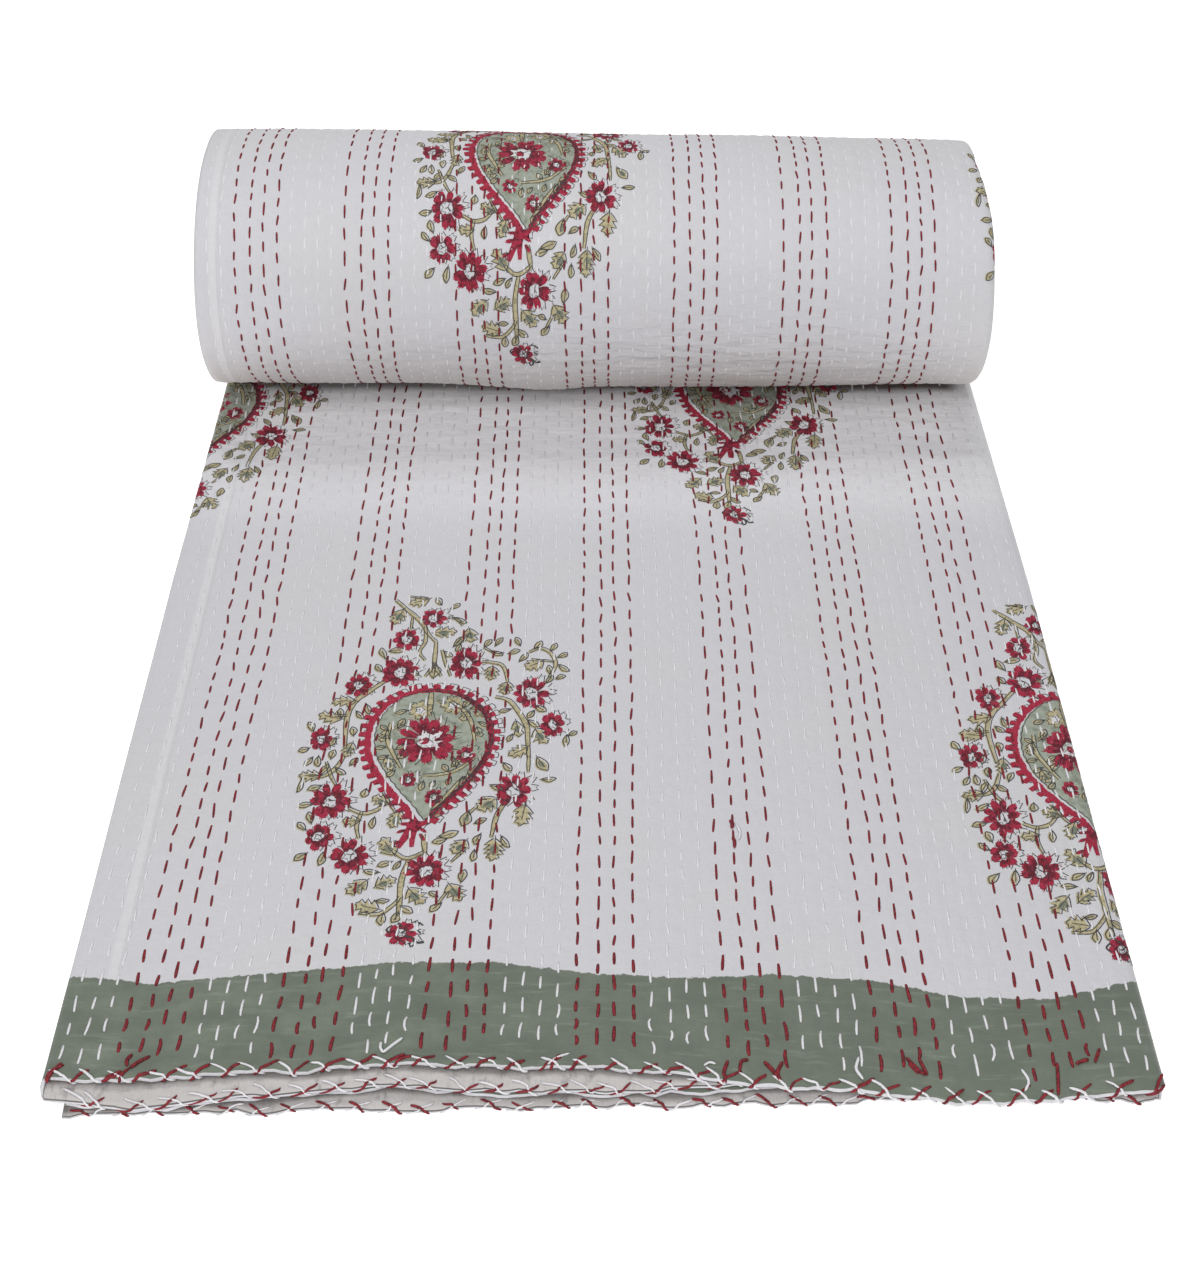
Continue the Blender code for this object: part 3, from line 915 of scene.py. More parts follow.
def add_running_stitches(side, patch, first, last, seed, materials):
    found = running_stitches(side, first, last, seed)
    red = (found[:, 0] % GROUP) < RED_ROWS
    for thread, mine in (("red", red), ("white", ~red)):
        row, start, length, lean, drift, bow = (found[mine, n:n + 1] for n in range(6))
        along = start + length * STATIONS
        slack = HEM_BOW * (1 - fade(start, *BOWED_NEAR_HEM)) if side == "flat" else 0
        across = stitch_row(side, row, along) + lean * (STATIONS - 0.5) * 2 + drift
        across = across + slack * bow * 4 * STATIONS * (1 - STATIONS)
        width = thread_width(side, thread, along)
        sunk = WHITE_SUNK[side] * (thread == "white") * (along > SUNK_FROM)
        points, normals, inside = patch.at(across, along, (HEIGHTS - sunk) * width)
        points, normals = (a.reshape(*along.shape, 3) for a in (points, normals))
        keep = inside.reshape(along.shape).all(1) & (across.min(1) > FIRST_STITCH)
        lines = points[keep], normals[keep], (width * GIRTHS)[keep]
        add_threads(f"{thread}_stitches_{side}", *lines, materials[thread], FLAT_THREAD)


# ---------------------------------------------------------------- the thread over the hem
# Each layer's hem is whipped over with a red and a white thread that cross. layer, thread,
# width in mm, step from stitch to stitch, and one stitch: mm across and mm back from the hem.
# Below zero it goes down the front.
HEM_STITCHES = (
    (1, "white", 1.35, 16.6, -2.0, ((0, 4.4), (3.5, 2.9), (6.5, 1.1), (9, -0.5), (11, -1.7), (12.5, -2.8))),
    (1, "red", 1.6, 16.6, 9.5, ((0, -2.4), (1.5, -1.2), (3.5, 0.4), (6.5, 2.5), (9, 4.0), (11, 4.8))),
    (2, "white", 1.15, 16.2, 5.0, ((0, 4.4), (4, 3.0), (8, 1.0), (11, -0.6), (13, -1.6), (14.5, -2.4))),
    (2, "red", 1.25, 16.2, 18.0, ((0, -2.4), (3, -1.6), (6, -0.6), (9, 0.8), (11, 2.0), (12, 3.0))),
    (4, "white", 1.0, 17.0, 19.0, ((0, -2.2), (2.5, -1.4), (5, -0.2), (8, 1.0), (11, 2.2), (13, 3.0))),
    (4, "red", 1.4, 17.0, 12.0, ((0, 2.8), (2.5, 1.8), (5, 0.5), (7.5, -0.7), (9, -1.6), (9.5, -2.0))),
)
# Loose ends and tangles near the hem and the corners: thread, width, then points on layer 1 in
# mm from the middle and mm back from the foremost line.
LOOSE = (
    ("red", 2.0, (-242.5, 14.5), (-244.5, 11), (-243.5, 7)),
    ("red", 1.9, (-233, 13.5), (-237.5, 10), (-242, 5.5)),
    ("red", 1.6, (-242, 5.5), (-245.5, 2), (-251, -0.5), (-256, -2)), ("red", 1.7, (-244, 4), (-246, -2)),
    ("red", 2.0, (-284.5, -3), (-281, 3), (-277.5, 9)), ("red", 1.9, (-284, 0), (-280, 5), (-276, 8)),
    ("white", 1.7, (-104.5, 27), (-109.5, 22), (-114, 17)),
    ("white", 1.7, (-115.5, 24), (-115.5, 20), (-114, 17)),
    ("red", 1.6, (-110, 9), (-103, 13), (-98, 14)), ("white", 1.3, (51, 9), (54, 11), (57, 10)),
    ("red", 1.9, (63.5, 12), (61, 5), (62, 0.5)), ("red", 1.9, (74, 12.5), (70.5, 11.5), (69, 6)),
    ("red", 2.1, (82, 11), (86, 5.5), (89, 0)), ("red", 2.0, (91.5, 11), (88.5, 5), (89.5, -0.5)),
    ("red", 1.9, (155.5, 14), (160.5, 8), (164.5, 4.5)), ("red", 1.8, (156.5, 11), (161, 5.5)),
    ("red", 1.8, (162, 13.5), (165.5, 4.5)), ("white", 1.8, (131, 14), (129, 7), (132, 1.5)),
    ("red", 1.9, (242.5, 10.5), (246, 12), (249.5, 13)),
    ("red", 1.8, (252.5, 11.5), (254.5, 15.5), (256.5, 19.5)),
    ("red", 1.9, (233, 11), (232, 2.5), (231, -4.5)), ("white", 1.5, (214, 7.5), (217, 1.5), (214.5, -3.5)),
    ("white", 1.2, (-29, 9), (-24, 14), (-18, 17)), ("red", 1.7, (280, -4), (283, 1), (286, 5)),
    ("red", 1.7, (276, -5), (281, -3), (286, -1)), ("red", 2.3, (73.5, 181), (75.0, 179), (74.5, 175)),
    ("red", 2.0, (74.5, 168), (75.5, 165), (75.2, 160)), ("white", 1.6, (77, 178), (79, 172), (78, 166)),
    ("red", 1.6, (-28, 6), (-26, 11), (-23, 16)),
)
HIDDEN_FROM = 76            # from here to the right, layer 1 hangs over the hem of layer 2
HEM_STATIONS = 10
HEM_GIRTHS = np.interp(np.linspace(0, 1, HEM_STATIONS), (0, 0.1, 0.5, 0.9, 1), (0.5, 0.95, 1.05, 0.95, 0.5))
HEM_LIFT = {"red": 0.45, "white": 0.45 + 0.25}  # how high the threads lie, in widths
HEM_PROUD = 0.0006          # how far before the hem they run down
NEAR_HEM = 60               # loose ends within so many mm follow the hem
STITCH_ENDS = (-281, 285)   # in mm: between them the hem is whipped over


def hem_points(layer, path, lift):
    """Points over a layer's upper side near its hem, or down its front where back is below zero."""
    x, back = path[:, 0] / 1000, path[:, 1] / 1000
    over = back > 0
    height = (4 - layer) * LAYER_STEP + CLOTH + np.where(over, lift, np.maximum(back, -CLOTH))
    points = place(x, height, np.full_like(x, layer), np.maximum(back, 0) / AXIS_Y - 1)
    down = np.clip(-back / CLOTH, 0, 1)
    points[:, 1] -= np.where(over, 0, HEM_PROUD + lift * np.sin(np.pi * down))
    return points


def even_steps(path, count):
    """The same line as a fixed count of points, evenly spaced."""
    fine = through(path, 0.8)
    run = np.concatenate(([0], np.cumsum(np.hypot(*np.diff(fine, axis=0).T))))
    at = np.linspace(0, run[-1], count)
    return np.stack([np.interp(at, run, fine[:, k]) for k in (0, 1)], 1)


def hem_stitches():
    """Layer, width and path in mm of every stitch and loose end, for each of the two threads."""
    rng = np.random.default_rng(41)
    found = {"red": [], "white": []}
    for layer, thread, width, step, first, shape in HEM_STITCHES:
        shape = np.array(shape, float)
        x = STITCH_ENDS[0] + first
        while x + shape[-1, 0] < (HIDDEN_FROM if layer == 2 else STITCH_ENDS[1]):
            size = np.array((rng.uniform(0.8, 1.2), 1.0))
            path = shape * size + (x + rng.normal(0, 0.9), 0)
            path[:, 1] = np.where(path[:, 1] > 0, path[:, 1] * rng.uniform(0.7, 1.3), path[:, 1])
            path[1:-1, 0] += rng.normal(0, 0.5, len(path) - 2)
            found[thread].append((layer, width * rng.uniform(0.8, 1.15), path))
            x += step * rng.uniform(0.86, 1.14)
    for thread, width, *path in LOOSE:
        path = np.array(path, float)
        path[:, 1] -= 1000 * read_table(HEM, half_widths(path[:, 0] / 1000), 1) * (path[:, 1] < NEAR_HEM)
        found[thread].append((1, width, path))
    return found


def add_hem_threads(materials):
    for thread, stitches in hem_stitches().items():
        lines = np.stack([
            hem_points(layer, even_steps(path, HEM_STATIONS), width / 1000 * HEM_LIFT[thread])
            for layer, width, path in stitches
        ])
        widths = np.array([width for _, width, _ in stitches])[:, None] / 1000 * HEM_GIRTHS
        normals = np.broadcast_to(np.array((0, -0.5, 0.8)), lines.shape)
        add_threads(f"{thread}_hem_threads", lines, normals, widths, materials[thread])


# ---------------------------------------------------------------- the block print, in millimetres
# One motif, with its origin in the middle of the big flower and its tip pointing down.
# across, up, half width, half height, petals, turned by degrees
FLOWERS = (
    (23, -13, 6.5, 7.5, 7, 0), (-10, -34, 5.5, 6.5, 7, 10), (6, -48, 6.0, 7.0, 8, 0),
    (-20, 93, 9.5, 11.5, 8, 10), (-4, 114, 8.5, 9.5, 8, 0), (19, 70, 10.5, 15.0, 9, 5),
    (-22, 61, 12.0, 15.0, 9, 15), (-47, 49, 8.5, 11.5, 8, 0), (61, 42, 11.5, 14.5, 10, 0),
    (75, 14, 8.0, 11.5, 8, 8), (-65, 0, 8.0, 10.5, 8, 12), (-54, -52, 12.0, 15.0, 10, 4),
    (-58, -80, 9.0, 10.5, 7, 0), (-39, -95, 12.0, 13.5, 10, 9), (53, -42, 11.5, 14.0, 9, 0),
    (5, -107, 12.0, 13.5, 10, 6), (-5, -155, 8.5, 9.5, 8, 3),
)
INNER_FLOWERS = 3           # the first of them lie inside the medallion
BIG_FLOWER = (-1, 0, 19.0, 21.5, 12, 6)
OLIVE_FLOWERS = ((-8, 26, 7.0, 8.5, 6, 20), (12, 31, 7.5, 8.5, 6, 0))
# middle across, up, direction in degrees, length, width, teeth on a side, 1 with a sage heart
LEAVES = (
    (-16, 130, 200, 14, 10, 3, 0), (-28, 114, 250, 16, 10, 3, 1), (3, 99, 5, 15, 10, 3, 1),
    (19, 96, 280, 14, 9, 2, 1), (34, 60, 265, 13, 9, 3, 1), (44, 46, 260, 12, 9, 3, 1),
    (61, 68, 215, 14, 11, 3, 0), (-56, 32, 185, 15, 9, 3, 0), (-63, 19, 165, 15, 11, 3, 0),
    (67, 3, 300, 15, 10, 3, 1), (52, 9, 280, 14, 7, 2, 1), (53, -10, 215, 14, 9, 3, 0),
    (68, -21, 300, 13, 7, 1, 1), (36, -54, 220, 14, 12, 3, 1), (24, -66, 255, 12, 7, 1, 1),
    (57, -63, 262, 17, 11, 3, 0), (41, -90, 265, 18, 11, 4, 1), (22, -88, 235, 13, 10, 3, 1),
    (21, -124, 300, 15, 11, 3, 1), (0, -127, 310, 15, 11, 3, 1), (-18, -117, 30, 13, 10, 3, 1),
    (-34, -120, 225, 15, 10, 3, 1), (-27, -135, 160, 14, 11, 3, 0), (-19, -88, 120, 16, 11, 3, 1),
    (-16, -67, 250, 14, 9, 3, 1), (-26, -52, 150, 12, 9, 3, 1), (-42, -68, 180, 10, 8, 2, 0),
    (-70, -32, 180, 13, 9, 3, 0), (-49, -10, 255, 13, 8, 3, 1),
    (20, 20, 250, 10, 6, 2, 0),
    (-29, 2, 255, 11, 6, 3, 1), (-24, -22, 290, 12, 7, 3, 1), (7, -61, 245, 11, 7, 1, 1),
    (29, 22, 330, 9, 5, 2, 0), (29, 6, 290, 9, 5, 2, 1), (16, -20, 60, 9, 5, 2, 0),
    (21, -36, 250, 9, 4, 1, 0), (-17, -14, 60, 9, 5, 2, 0), (27, -27, 40, 9, 5, 2, 0),
)
# middle across, up, direction in degrees, length, width
SMALL_LEAVES = (
    (-35, 78, 110, 11, 4.5), (-27, 81, 5, 10, 5.5), (-37, 64, 120, 8, 4.5), (8, 125, 40, 8, 4),
    (-2, 61, 90, 12, 8), (-3, 130, 115, 9, 4), (12, 111, 330, 10, 4), (12, 90, 60, 12, 4.5),
    (31, 88, 60, 9, 4),
    (38, 90, 60, 9, 4), (37, 79, 330, 9, 4), (50, 90, 110, 9, 4), (54, 75, 60, 10, 4),
    (48, 80, 20, 8, 4.5), (63, 87, 60, 9, 4.5), (73, 85, 65, 8, 4), (79, 77, 35, 8, 4),
    (80, 65, 320, 9, 4.5), (78, 56, 25, 7, 4), (71, 63, 100, 9, 4), (71, 54, 60, 9, 3.5),
    (-74, 10, 115, 9, 4.5), (-76, -10, 205, 7, 4.5), (-58, -14, 80, 8, 4.5), (-72, -20, 240, 8, 4),
    (-66, -20, 275, 9, 4), (-48, 6, 100, 8, 4.5), (-66, -42, 205, 9, 4.5), (-75, -40, 260, 12, 3),
    (-70, -56, 190, 9, 4.5), (-66, -66, 105, 9, 4.5), (-70, -73, 130, 8, 4), (-68, -97, 225, 9, 5),
    (-56, -98, 260, 11, 4.5), (-29, -70, 265, 9, 4), (62, 14, 320, 9, 5), (47, -24, 305, 9, 4.5),
    (72, -34, 5, 9, 4), (41, -41, 330, 8, 4.5), (15, -78, 20, 12, 5.5), (10, -83, 200, 9, 4.5),
    (32, -82, 250, 9, 4), (30, -95, 265, 9, 4), (48, -84, 300, 10, 4), (11, -136, 230, 9, 4.5),
    (25, -111, 80, 10, 5), (-20, -102, 205, 9, 4.5), (-13, -103, 240, 8, 3.5), (-27, -108, 170, 9, 4),
    (-18, -145, 265, 9, 5), (-11, -144, 250, 9, 5), (-5, -138, 320, 9, 5), (9, -126, 150, 6, 4),
    (-19, -131, 5, 8, 3.5), (-41, 26, 285, 10, 4), (-59, -3, 250, 8, 4), (-45, 21, 310, 8, 4),
    (-57, 22, 100, 9, 4), (-62, -27, 60, 10, 4), (-52, -28, 320, 9, 4), (-13, 60, 300, 6, 3),
    (-36, -46, 260, 7, 5), (12, 84, 250, 8, 3.5), (6, 78, 320, 8, 4), (60, 22, 240, 8, 4),
    (44, 25, 200, 8, 3.5), (48, 1, 250, 7, 3.5), (66, 27, 320, 9, 5), (82, -1, 265, 11, 4),
    (86, 5, 30, 6, 4), (33, -68, 30, 8, 4), (-45, -20, 60, 8, 4),
    (-19, 13, 70, 10, 4.5), (-29, 9, 140, 7, 3.5), (-30, -8, 190, 7, 3.5), (-28, -16, 205, 7, 3.5),
    (-18, -8, 30, 7, 3.5), (-22, -30, 230, 7, 4), (10, -25, 120, 7, 4), (16, -21, 100, 7, 3.5),
    (13, -36, 255, 7, 3.5), (26, -33, 300, 7, 3.5), (-3, -40, 260, 8, 4), (3, -38, 240, 6, 3.5),
    (20, 31, 60, 9, 4), (26, 28, 20, 8, 3.5), (31, 13, 330, 7, 3.5), (-20, 24, 200, 8, 4),
    (8, -51, 60, 7, 3.5),
)
# width, then the points that the stem runs through
STEMS = (
    (3.0, (-2, 90), (-2, 74), (-2, 60)), (2.4, (-2, 70), (-4, 63), (-7, 57)),
    (2.4, (-2, 70), (0, 63), (3, 57)), (2.2, (2, 82), (5, 70), (9, 57)),
    (3.2, (-31, 131), (-20, 118), (-12, 108), (-8, 98), (-2, 90)),
    (2.4, (-10, 105), (-9, 90), (-12, 80), (-8, 72)), (1.8, (-19, 114), (-19, 102)),
    (2.0, (4, 114), (10, 112), (14, 106)), (2.2, (11, 86), (15, 94), (20, 99)),
    (2.6, (28, 71), (36, 70), (42, 66), (45, 53)), (2.8, (58, 80), (65, 84), (72, 79), (75, 68), (71, 56)),
    (1.8, (62, 72), (69, 72), (74, 71)), (1.8, (29, 84), (35, 80), (42, 79)), (1.8, (-22, 135), (-10, 132)),
    (3.4, (38, 38), (46, 35), (53, 24), (58, 12), (59, 0), (60, -16)), (2.2, (60, -14), (60, -28)),
    (3.4, (-31, 53), (-40, 43), (-48, 34), (-52, 22), (-52, 6), (-51, -8)), (2.2, (-52, 20), (-60, 20)),
    (2.8, (-51, -16), (-55, -26), (-61, -32), (-70, -32)), (2.2, (-61, -20), (-57, -32), (-53, -40)),
    (2.8, (-44, -58), (-36, -62), (-28, -60), (-22, -53)), (2.4, (-36, -61), (-38, -72), (-36, -82)),
    (3.2, (1, -78), (2, -86), (3, -94)), (3.0, (-15, -92), (-9, -97), (-3, -96), (3, -91)),
    (3.4, (-6, -98), (-9, -114), (-9, -130), (-9, -146)),
    (2.6, (-31, -140), (-20, -141), (-12, -134), (-9, -128)),
    (3.0, (49, -50), (43, -62), (40, -80)), (1.8, (25, -90), (18, -100)), (1.8, (17, -124), (11, -135)),
    (1.8, (30, -57), (25, -64)), (1.8, (-25, -45), (-20, -55), (-16, -62)),
    (3.8, (-2, 42), (-2, 31), (-2, 20)), (3.0, (10, 34), (18, 27), (24, 15), (27, -2)),
    (3.0, (-25, 14), (-26, 0), (-22, -12), (-16, -25)), (2.6, (-3, -31), (8, -30), (18, -26), (28, -16)),
    (2.4, (4, -60), (12, -48), (22, -32)), (2.0, (-24, 8), (-17, 14)), (2.0, (2, 34), (8, 32)),
)
# The medallion's outline at its inner edge, clockwise from the top: across, up.
MEDALLION = (
    (0, 43), (14, 40), (26, 31), (34, 17), (36, 1), (33, -15), (26, -30), (16, -45), (7, -57), (0, -67),
    (-7, -57), (-16, -45), (-25, -31), (-32, -16), (-35, 0), (-33, 16), (-26, 30), (-14, 40),
)
BAND = 4.0                  # the solid part of the medallion's border
TOOTH = 4.6                 # how far its teeth stand out, and their step along the border
TOOTH_STEP = 6.6
BORDER_DARK = np.array((1.1, 0.9, 0.3, 0, 0))   # how much darker it is from its inner edge outwards
# Below the medallion's tip: half width at the top, and the points that each foot runs through.
FEET = ((3.2, (-3, -66), (-6, -74), (-12, -88)), (2.6, (-3, -68), (-4, -78), (-4, -87)))
# The feet's small petals: across, up, direction in degrees.
SPURS = ((-1, -72, 325), (0, -77, 300), (-6, -69, 185), (-8, -74, 200), (-11, -83, 200))
SAGE_MIDDLE = (0.0, -4.0)
EYE = (-1.5, -0.5)          # the spot in the big flower, from its middle
HEART_SHIFT = (1.0, -0.6)
OUTLINE_WIDTH = 0.68
OUTLINE_SHIFT = (1.0, 0.3)                  # the outline block was laid a little to the right
GHOST_SHIFT = (2.5, 0.5)                    # most of all on the flowers
SAGE_SHIFT = (1.4, 0.9)                     # and so was the sage one
RIM_SHIFT = (2.0, 0.6)                      # the outline round the sage, drawn in scallops
SCALLOP = 0.7
PRINT_STEP = 2.0                            # the longest stretch of print between two points
# A petal from its foot to its end, in shares, and its toothed end. Then a plain leaf.
PETAL_PLACES = np.array((0, 0.22, 0.45, 0.68, 0.86, 1.0))
PETAL_WIDTHS = np.array((0.42, 0.56, 0.68, 0.66, 0.52, 0.26))
PETAL_END = np.array((-0.12, 0.06, -0.10, 0.06, -0.12))
PETAL_OUTLINE = np.array(((0.70, -0.62), (1.08, -0.36), (0.94, 0), (1.10, 0.30), (0.70, 0.62)))
LEAF_PLACES = np.array((0, 0.12, 0.30, 0.48, 0.68, 0.86, 1))
LEAF_WIDTHS = np.array((0.10, 0.52, 0.90, 1.0, 0.74, 0.36, 0.02))

# Where the motifs are printed. side, metres across, metres along, 1 where the tip points to the
# hem or -1 away from it, lean of the upright, tilt, stretch of the lower half, seed of its slips
MOTIFS = (
    ("flat", -0.1050, 0.2470, 1, 0.00, 0.00, 1.0, 1),
    ("flat", 0.0985, 0.6275, 1, 0.00, -0.07, 1.0, 2),
    ("flat", 0.2875, 0.2430, 1, 0.00, 0.13, 1.0, 3),
    ("flat", -0.2945, 0.6075, 1, 0.00, 0.00, 1.0, 4),
    ("roll", -0.0560, 0.9855, -1, 0.03, 0.00, 1.05, 5),
    ("roll", 0.3390, 0.9890, -1, 0.00, 0.00, 1.0, 6),
    ("roll", 0.1420, 0.6060, -1, 0.00, 0.00, 1.0, 7),
    ("roll", -0.2520, 0.6060, -1, 0.00, 0.00, 1.0, 8),
)


def through(points, step=PRINT_STEP, closed=False):
    """A smooth line through a few points, as more points about a step apart."""
    p = np.array(points, float)
    if closed:
        p = np.concatenate([p[-1:], p, p[:2]])
    else:
        p = np.concatenate([2 * p[:1] - p[1:2], p, 2 * p[-1:] - p[-2:-1]])
    out = []
    for a, b, c, d in zip(p, p[1:], p[2:], p[3:]):
        t = np.linspace(0, 1, max(2, math.ceil(np.hypot(*(c - b)) / step) + 1))[:-1, None]
        square, cube = 2 * a - 5 * b + 4 * c - d, 3 * b - a - 3 * c + d
        out.append(((2 * b) + (c - a) * t + square * t**2 + cube * t**3) / 2)
    if not closed:
        out.append(p[-2:-1])
    return np.concatenate(out)


def along_line(line, closed=False):
    """The direction to the left of a line at each of its points."""
    if closed:
        ahead = np.roll(line, -1, 0) - np.roll(line, 1, 0)
    else:
        ahead = np.gradient(line, axis=0)
    ahead /= np.linalg.norm(ahead, axis=1, keepdims=True) + 1e-9
    return np.stack([-ahead[:, 1], ahead[:, 0]], 1)


class Block:
    """One printing block for one ink: its shapes as grids of points. Each point's mark says how
    far along its stroke it lies (0 to 1), how far across (-1 to 1), and its stroke's own number."""

    def __init__(self):
        self.points, self.faces, self.marks, self.count = [], [], [], 0

    def add(self, grid, rng, closed=False, length=None):
        rows, columns = grid.shape[:2]
        index = self.count + np.arange(rows * columns).reshape(rows, columns)
        if closed:
            index = np.concatenate([index, index[:1]])
        quads = np.stack([index[:-1, :-1], index[:-1, 1:], index[1:, 1:], index[1:, :-1]], -1)
        self.faces.append(quads.reshape(-1, 4))
        self.points.append(grid.reshape(-1, 2))
        if length is None:
            length = np.broadcast_to(np.linspace(0, 1, rows)[:, None], (rows, columns))
        width = np.broadcast_to(np.linspace(-1, 1, columns)[None, :], (rows, columns))
        mark = np.broadcast_to(rng.uniform(0, 1), (rows, columns))
        self.marks.append(np.stack([length, width, mark], -1).reshape(-1, 3))
        self.count += rows * columns


def ribbon(line, half, columns=3, closed=False):
    """A band along a line, with a half width at each of its points."""
    left = along_line(line, closed)
    spread = np.linspace(-1, 1, columns)[None, :, None]
    return line[:, None] + left[:, None] * (np.broadcast_to(half, len(line))[:, None, None] * spread)


def turned(points, degrees, at=(0, 0)):
    angle = math.radians(degrees)
    spin = np.array(((math.cos(angle), math.sin(angle)), (-math.sin(angle), math.cos(angle))))
    return points @ spin + np.array(at)


def spoke(length, degrees):
    return turned(np.array((length, 0.0)), degrees)


def filled(edge, middle, rings=3):
    """The inside of a closed line, as rings that shrink towards its middle."""
    return middle + (edge - middle)[:, None] * np.linspace(1, 0.02, rings)[None, :, None]


def petal(radius, inner, width, rng):
    """One petal along +x: a wedge that ends in two teeth. Width is half the step between petals."""
    half = width * PETAL_WIDTHS * rng.uniform(0.82, 1.12)
    x = inner + (radius - inner) * PETAL_PLACES
    spread = np.linspace(-1, 1, 5)
    grid = np.stack([np.repeat(x[:, None], 5, 1), half[:, None] * spread[None, :]], -1)
    grid[-1, :, 0] += radius * (PETAL_END + rng.uniform(-0.06, 0.06, 5))
    grid[1:, :, 1] += rng.uniform(-0.08, 0.08) * radius * PETAL_PLACES[1:, None]
    return grid


def add_flower(blocks, flower, rng, inside=False, ink="crimson"):
    """A flower. On the sage its middle and the gaps between its petals are left bare."""
    x, y, wide, tall, petals, turn = flower
    middle = np.array((x, y))
    stretch = np.array((1, tall / wide))
    inner = wide * 0.33
    width = wide * math.sin(math.pi / petals)
    drawn, shift = ("ghost", GHOST_SHIFT) if ink == "crimson" else ("line", OUTLINE_SHIFT)

    def put(points, degrees, shift=(0, 0)):
        return turned(points, degrees) * stretch + middle + np.array(shift)

    for n in range(petals):
        degrees = turn + 360 * n / petals + rng.uniform(-5, 5)
        size = wide * rng.uniform(0.88, 1.08)
        blocks[ink].add(put(petal(size, inner * rng.uniform(0.75, 1.20), width, rng), degrees), rng)
        outline = put(PETAL_OUTLINE * (size, width), degrees, shift)
        blocks[drawn].add(ribbon(outline, OUTLINE_WIDTH / 2.2, 2), rng)
    points = 2 * max(5, petals - 3)
    ring = [spoke(inner * (0.8 if n % 2 else 1.35), 360 * n / points) for n in range(points)]
    ring = np.array(ring) * stretch + middle
    if inside:
        star = ring + (ring - middle) * rng.uniform(0, 0.25, (points, 1))
        blocks["bare"].add(filled(star, middle), rng, True)
    blocks["line"].add(ribbon(ring + (0.5, 0), OUTLINE_WIDTH / 3.2, 2, True), rng, True)
    for n in range(2 if wide < 8 else 4):
        stroke = np.array(((-0.1 * inner, 0), (rng.uniform(0.5, 0.8) * inner, 0.2)))
        stroke = put(stroke, rng.uniform(0, 360), (0.5, 0))
        blocks["line"].add(ribbon(stroke, OUTLINE_WIDTH / 2.8, 2), rng)


def add_eye(blocks, flower, rng):
    """The spot in the middle of the big flower."""
    x, y, wide = flower[:3]
    around = through([spoke(wide * 0.17, 360 * n / 7 + 20) for n in range(7)], 1.6, True)
    blocks["crimson"].add(filled(around, 0) + (x + EYE[0], y + EYE[1]), rng, True)


def leaf_edge(width, teeth):
    """Places along a leaf as shares and its half width there, with a notch after each tooth."""
    if teeth < 2:
        return LEAF_PLACES, width / 2 * LEAF_WIDTHS
    share, half = [0.0], [0.12]
    for n in range(teeth):
        low, high = 0.06 + 0.78 * n / teeth, 0.06 + 0.78 * (n + 1) / teeth
        swell = math.sin(math.pi * (0.30 + 0.56 * (n + 0.5) / teeth))
        share += [low + 0.12 * (high - low), low + 0.72 * (high - low), high]
        half += [0.62 * swell, 1.16 * swell, 0.50 * swell]
    return np.array(share + [1.0]), width / 2 * np.array(half + [0.04])


def add_leaf(blocks, leaf, rng):
    x, y, direction, length, width, teeth, heart = leaf
    share, half = leaf_edge(width, teeth)
    bow = rng.uniform(-0.08, 0.08) * length
    spine = np.stack([length * (share - 0.5), bow * np.sin(np.pi * share)], 1)
    spread = np.linspace(-1, 1, 5)[None, :]
    sweep = 0.13 * length * (np.abs(spread) ** 2) * (half / half.max())[:, None]
    grid = np.stack([spine[:, :1] + sweep, spine[:, 1:] + half[:, None] * spread], -1)
    blocks["olive"].add(turned(grid, direction, (x, y)), rng)
    shift = np.array((x, y)) + np.array(OUTLINE_SHIFT)
    for edge in (0, -1):
        blocks["line"].add(turned(ribbon(grid[:, edge], OUTLINE_WIDTH / 2, 2), direction, shift), rng)
    vein = np.stack([length * np.array((-0.62, -0.2, 0.25)), bow * np.array((0, 0.8, 0.6))], 1)
    blocks["line"].add(turned(ribbon(through(vein), OUTLINE_WIDTH / 2.6, 2), direction, shift), rng)
    if heart:
        steps = np.linspace(-1, 1, 6)
        line = np.stack([length * (0.24 * steps - 0.06), 0 * steps + bow * 0.7], 1)
        middle = ribbon(line, width * 0.24 * np.sqrt(np.clip(1 - steps**2, 0.02, 1)), 3)
        blocks["heart"].add(turned(middle, direction, np.array((x, y)) + HEART_SHIFT), rng)


def add_stem(blocks, stem, rng):
    width, points = stem[0], stem[1:]
    line = through(points)
    share = np.linspace(0, 1, len(line))
    half = width / 2 * (0.65 + 0.35 * np.sin(np.pi * np.clip(share * 1.1, 0, 1)))
    half = half * rng.uniform(0.92, 1.08, len(line))
    blocks["olive"].add(ribbon(line, half, 3), rng)
    left = along_line(line)
    for side in (1, -1):
        edge = line + left * (side * half[:, None] * 0.95) + np.array(OUTLINE_SHIFT) * 0.6
        blocks["line"].add(ribbon(edge, OUTLINE_WIDTH / 2.4, 2), rng)


def border_teeth(length, rng):
    """Places along the medallion's border, and how far its teeth stand out there."""
    teeth = round(length / TOOTH_STEP)
    places, reach = [], []
    for n in range(teeth):
        start, wide = n + rng.uniform(-0.08, 0.08), rng.uniform(0.58, 0.70)
        tall, slope = TOOTH * rng.uniform(0.70, 1.0), rng.uniform(-0.06, 0.06)
        places += [start, start + 0.04 + slope, start + wide / 2 + slope]
        places += [start + wide - 0.04 + slope, start + wide, start + 0.5 + wide / 2]
        reach += [0, tall * rng.uniform(0.8, 1), tall, tall * rng.uniform(0.8, 1), 0, 0]
    return np.array(places) / teeth * length, np.array(reach)


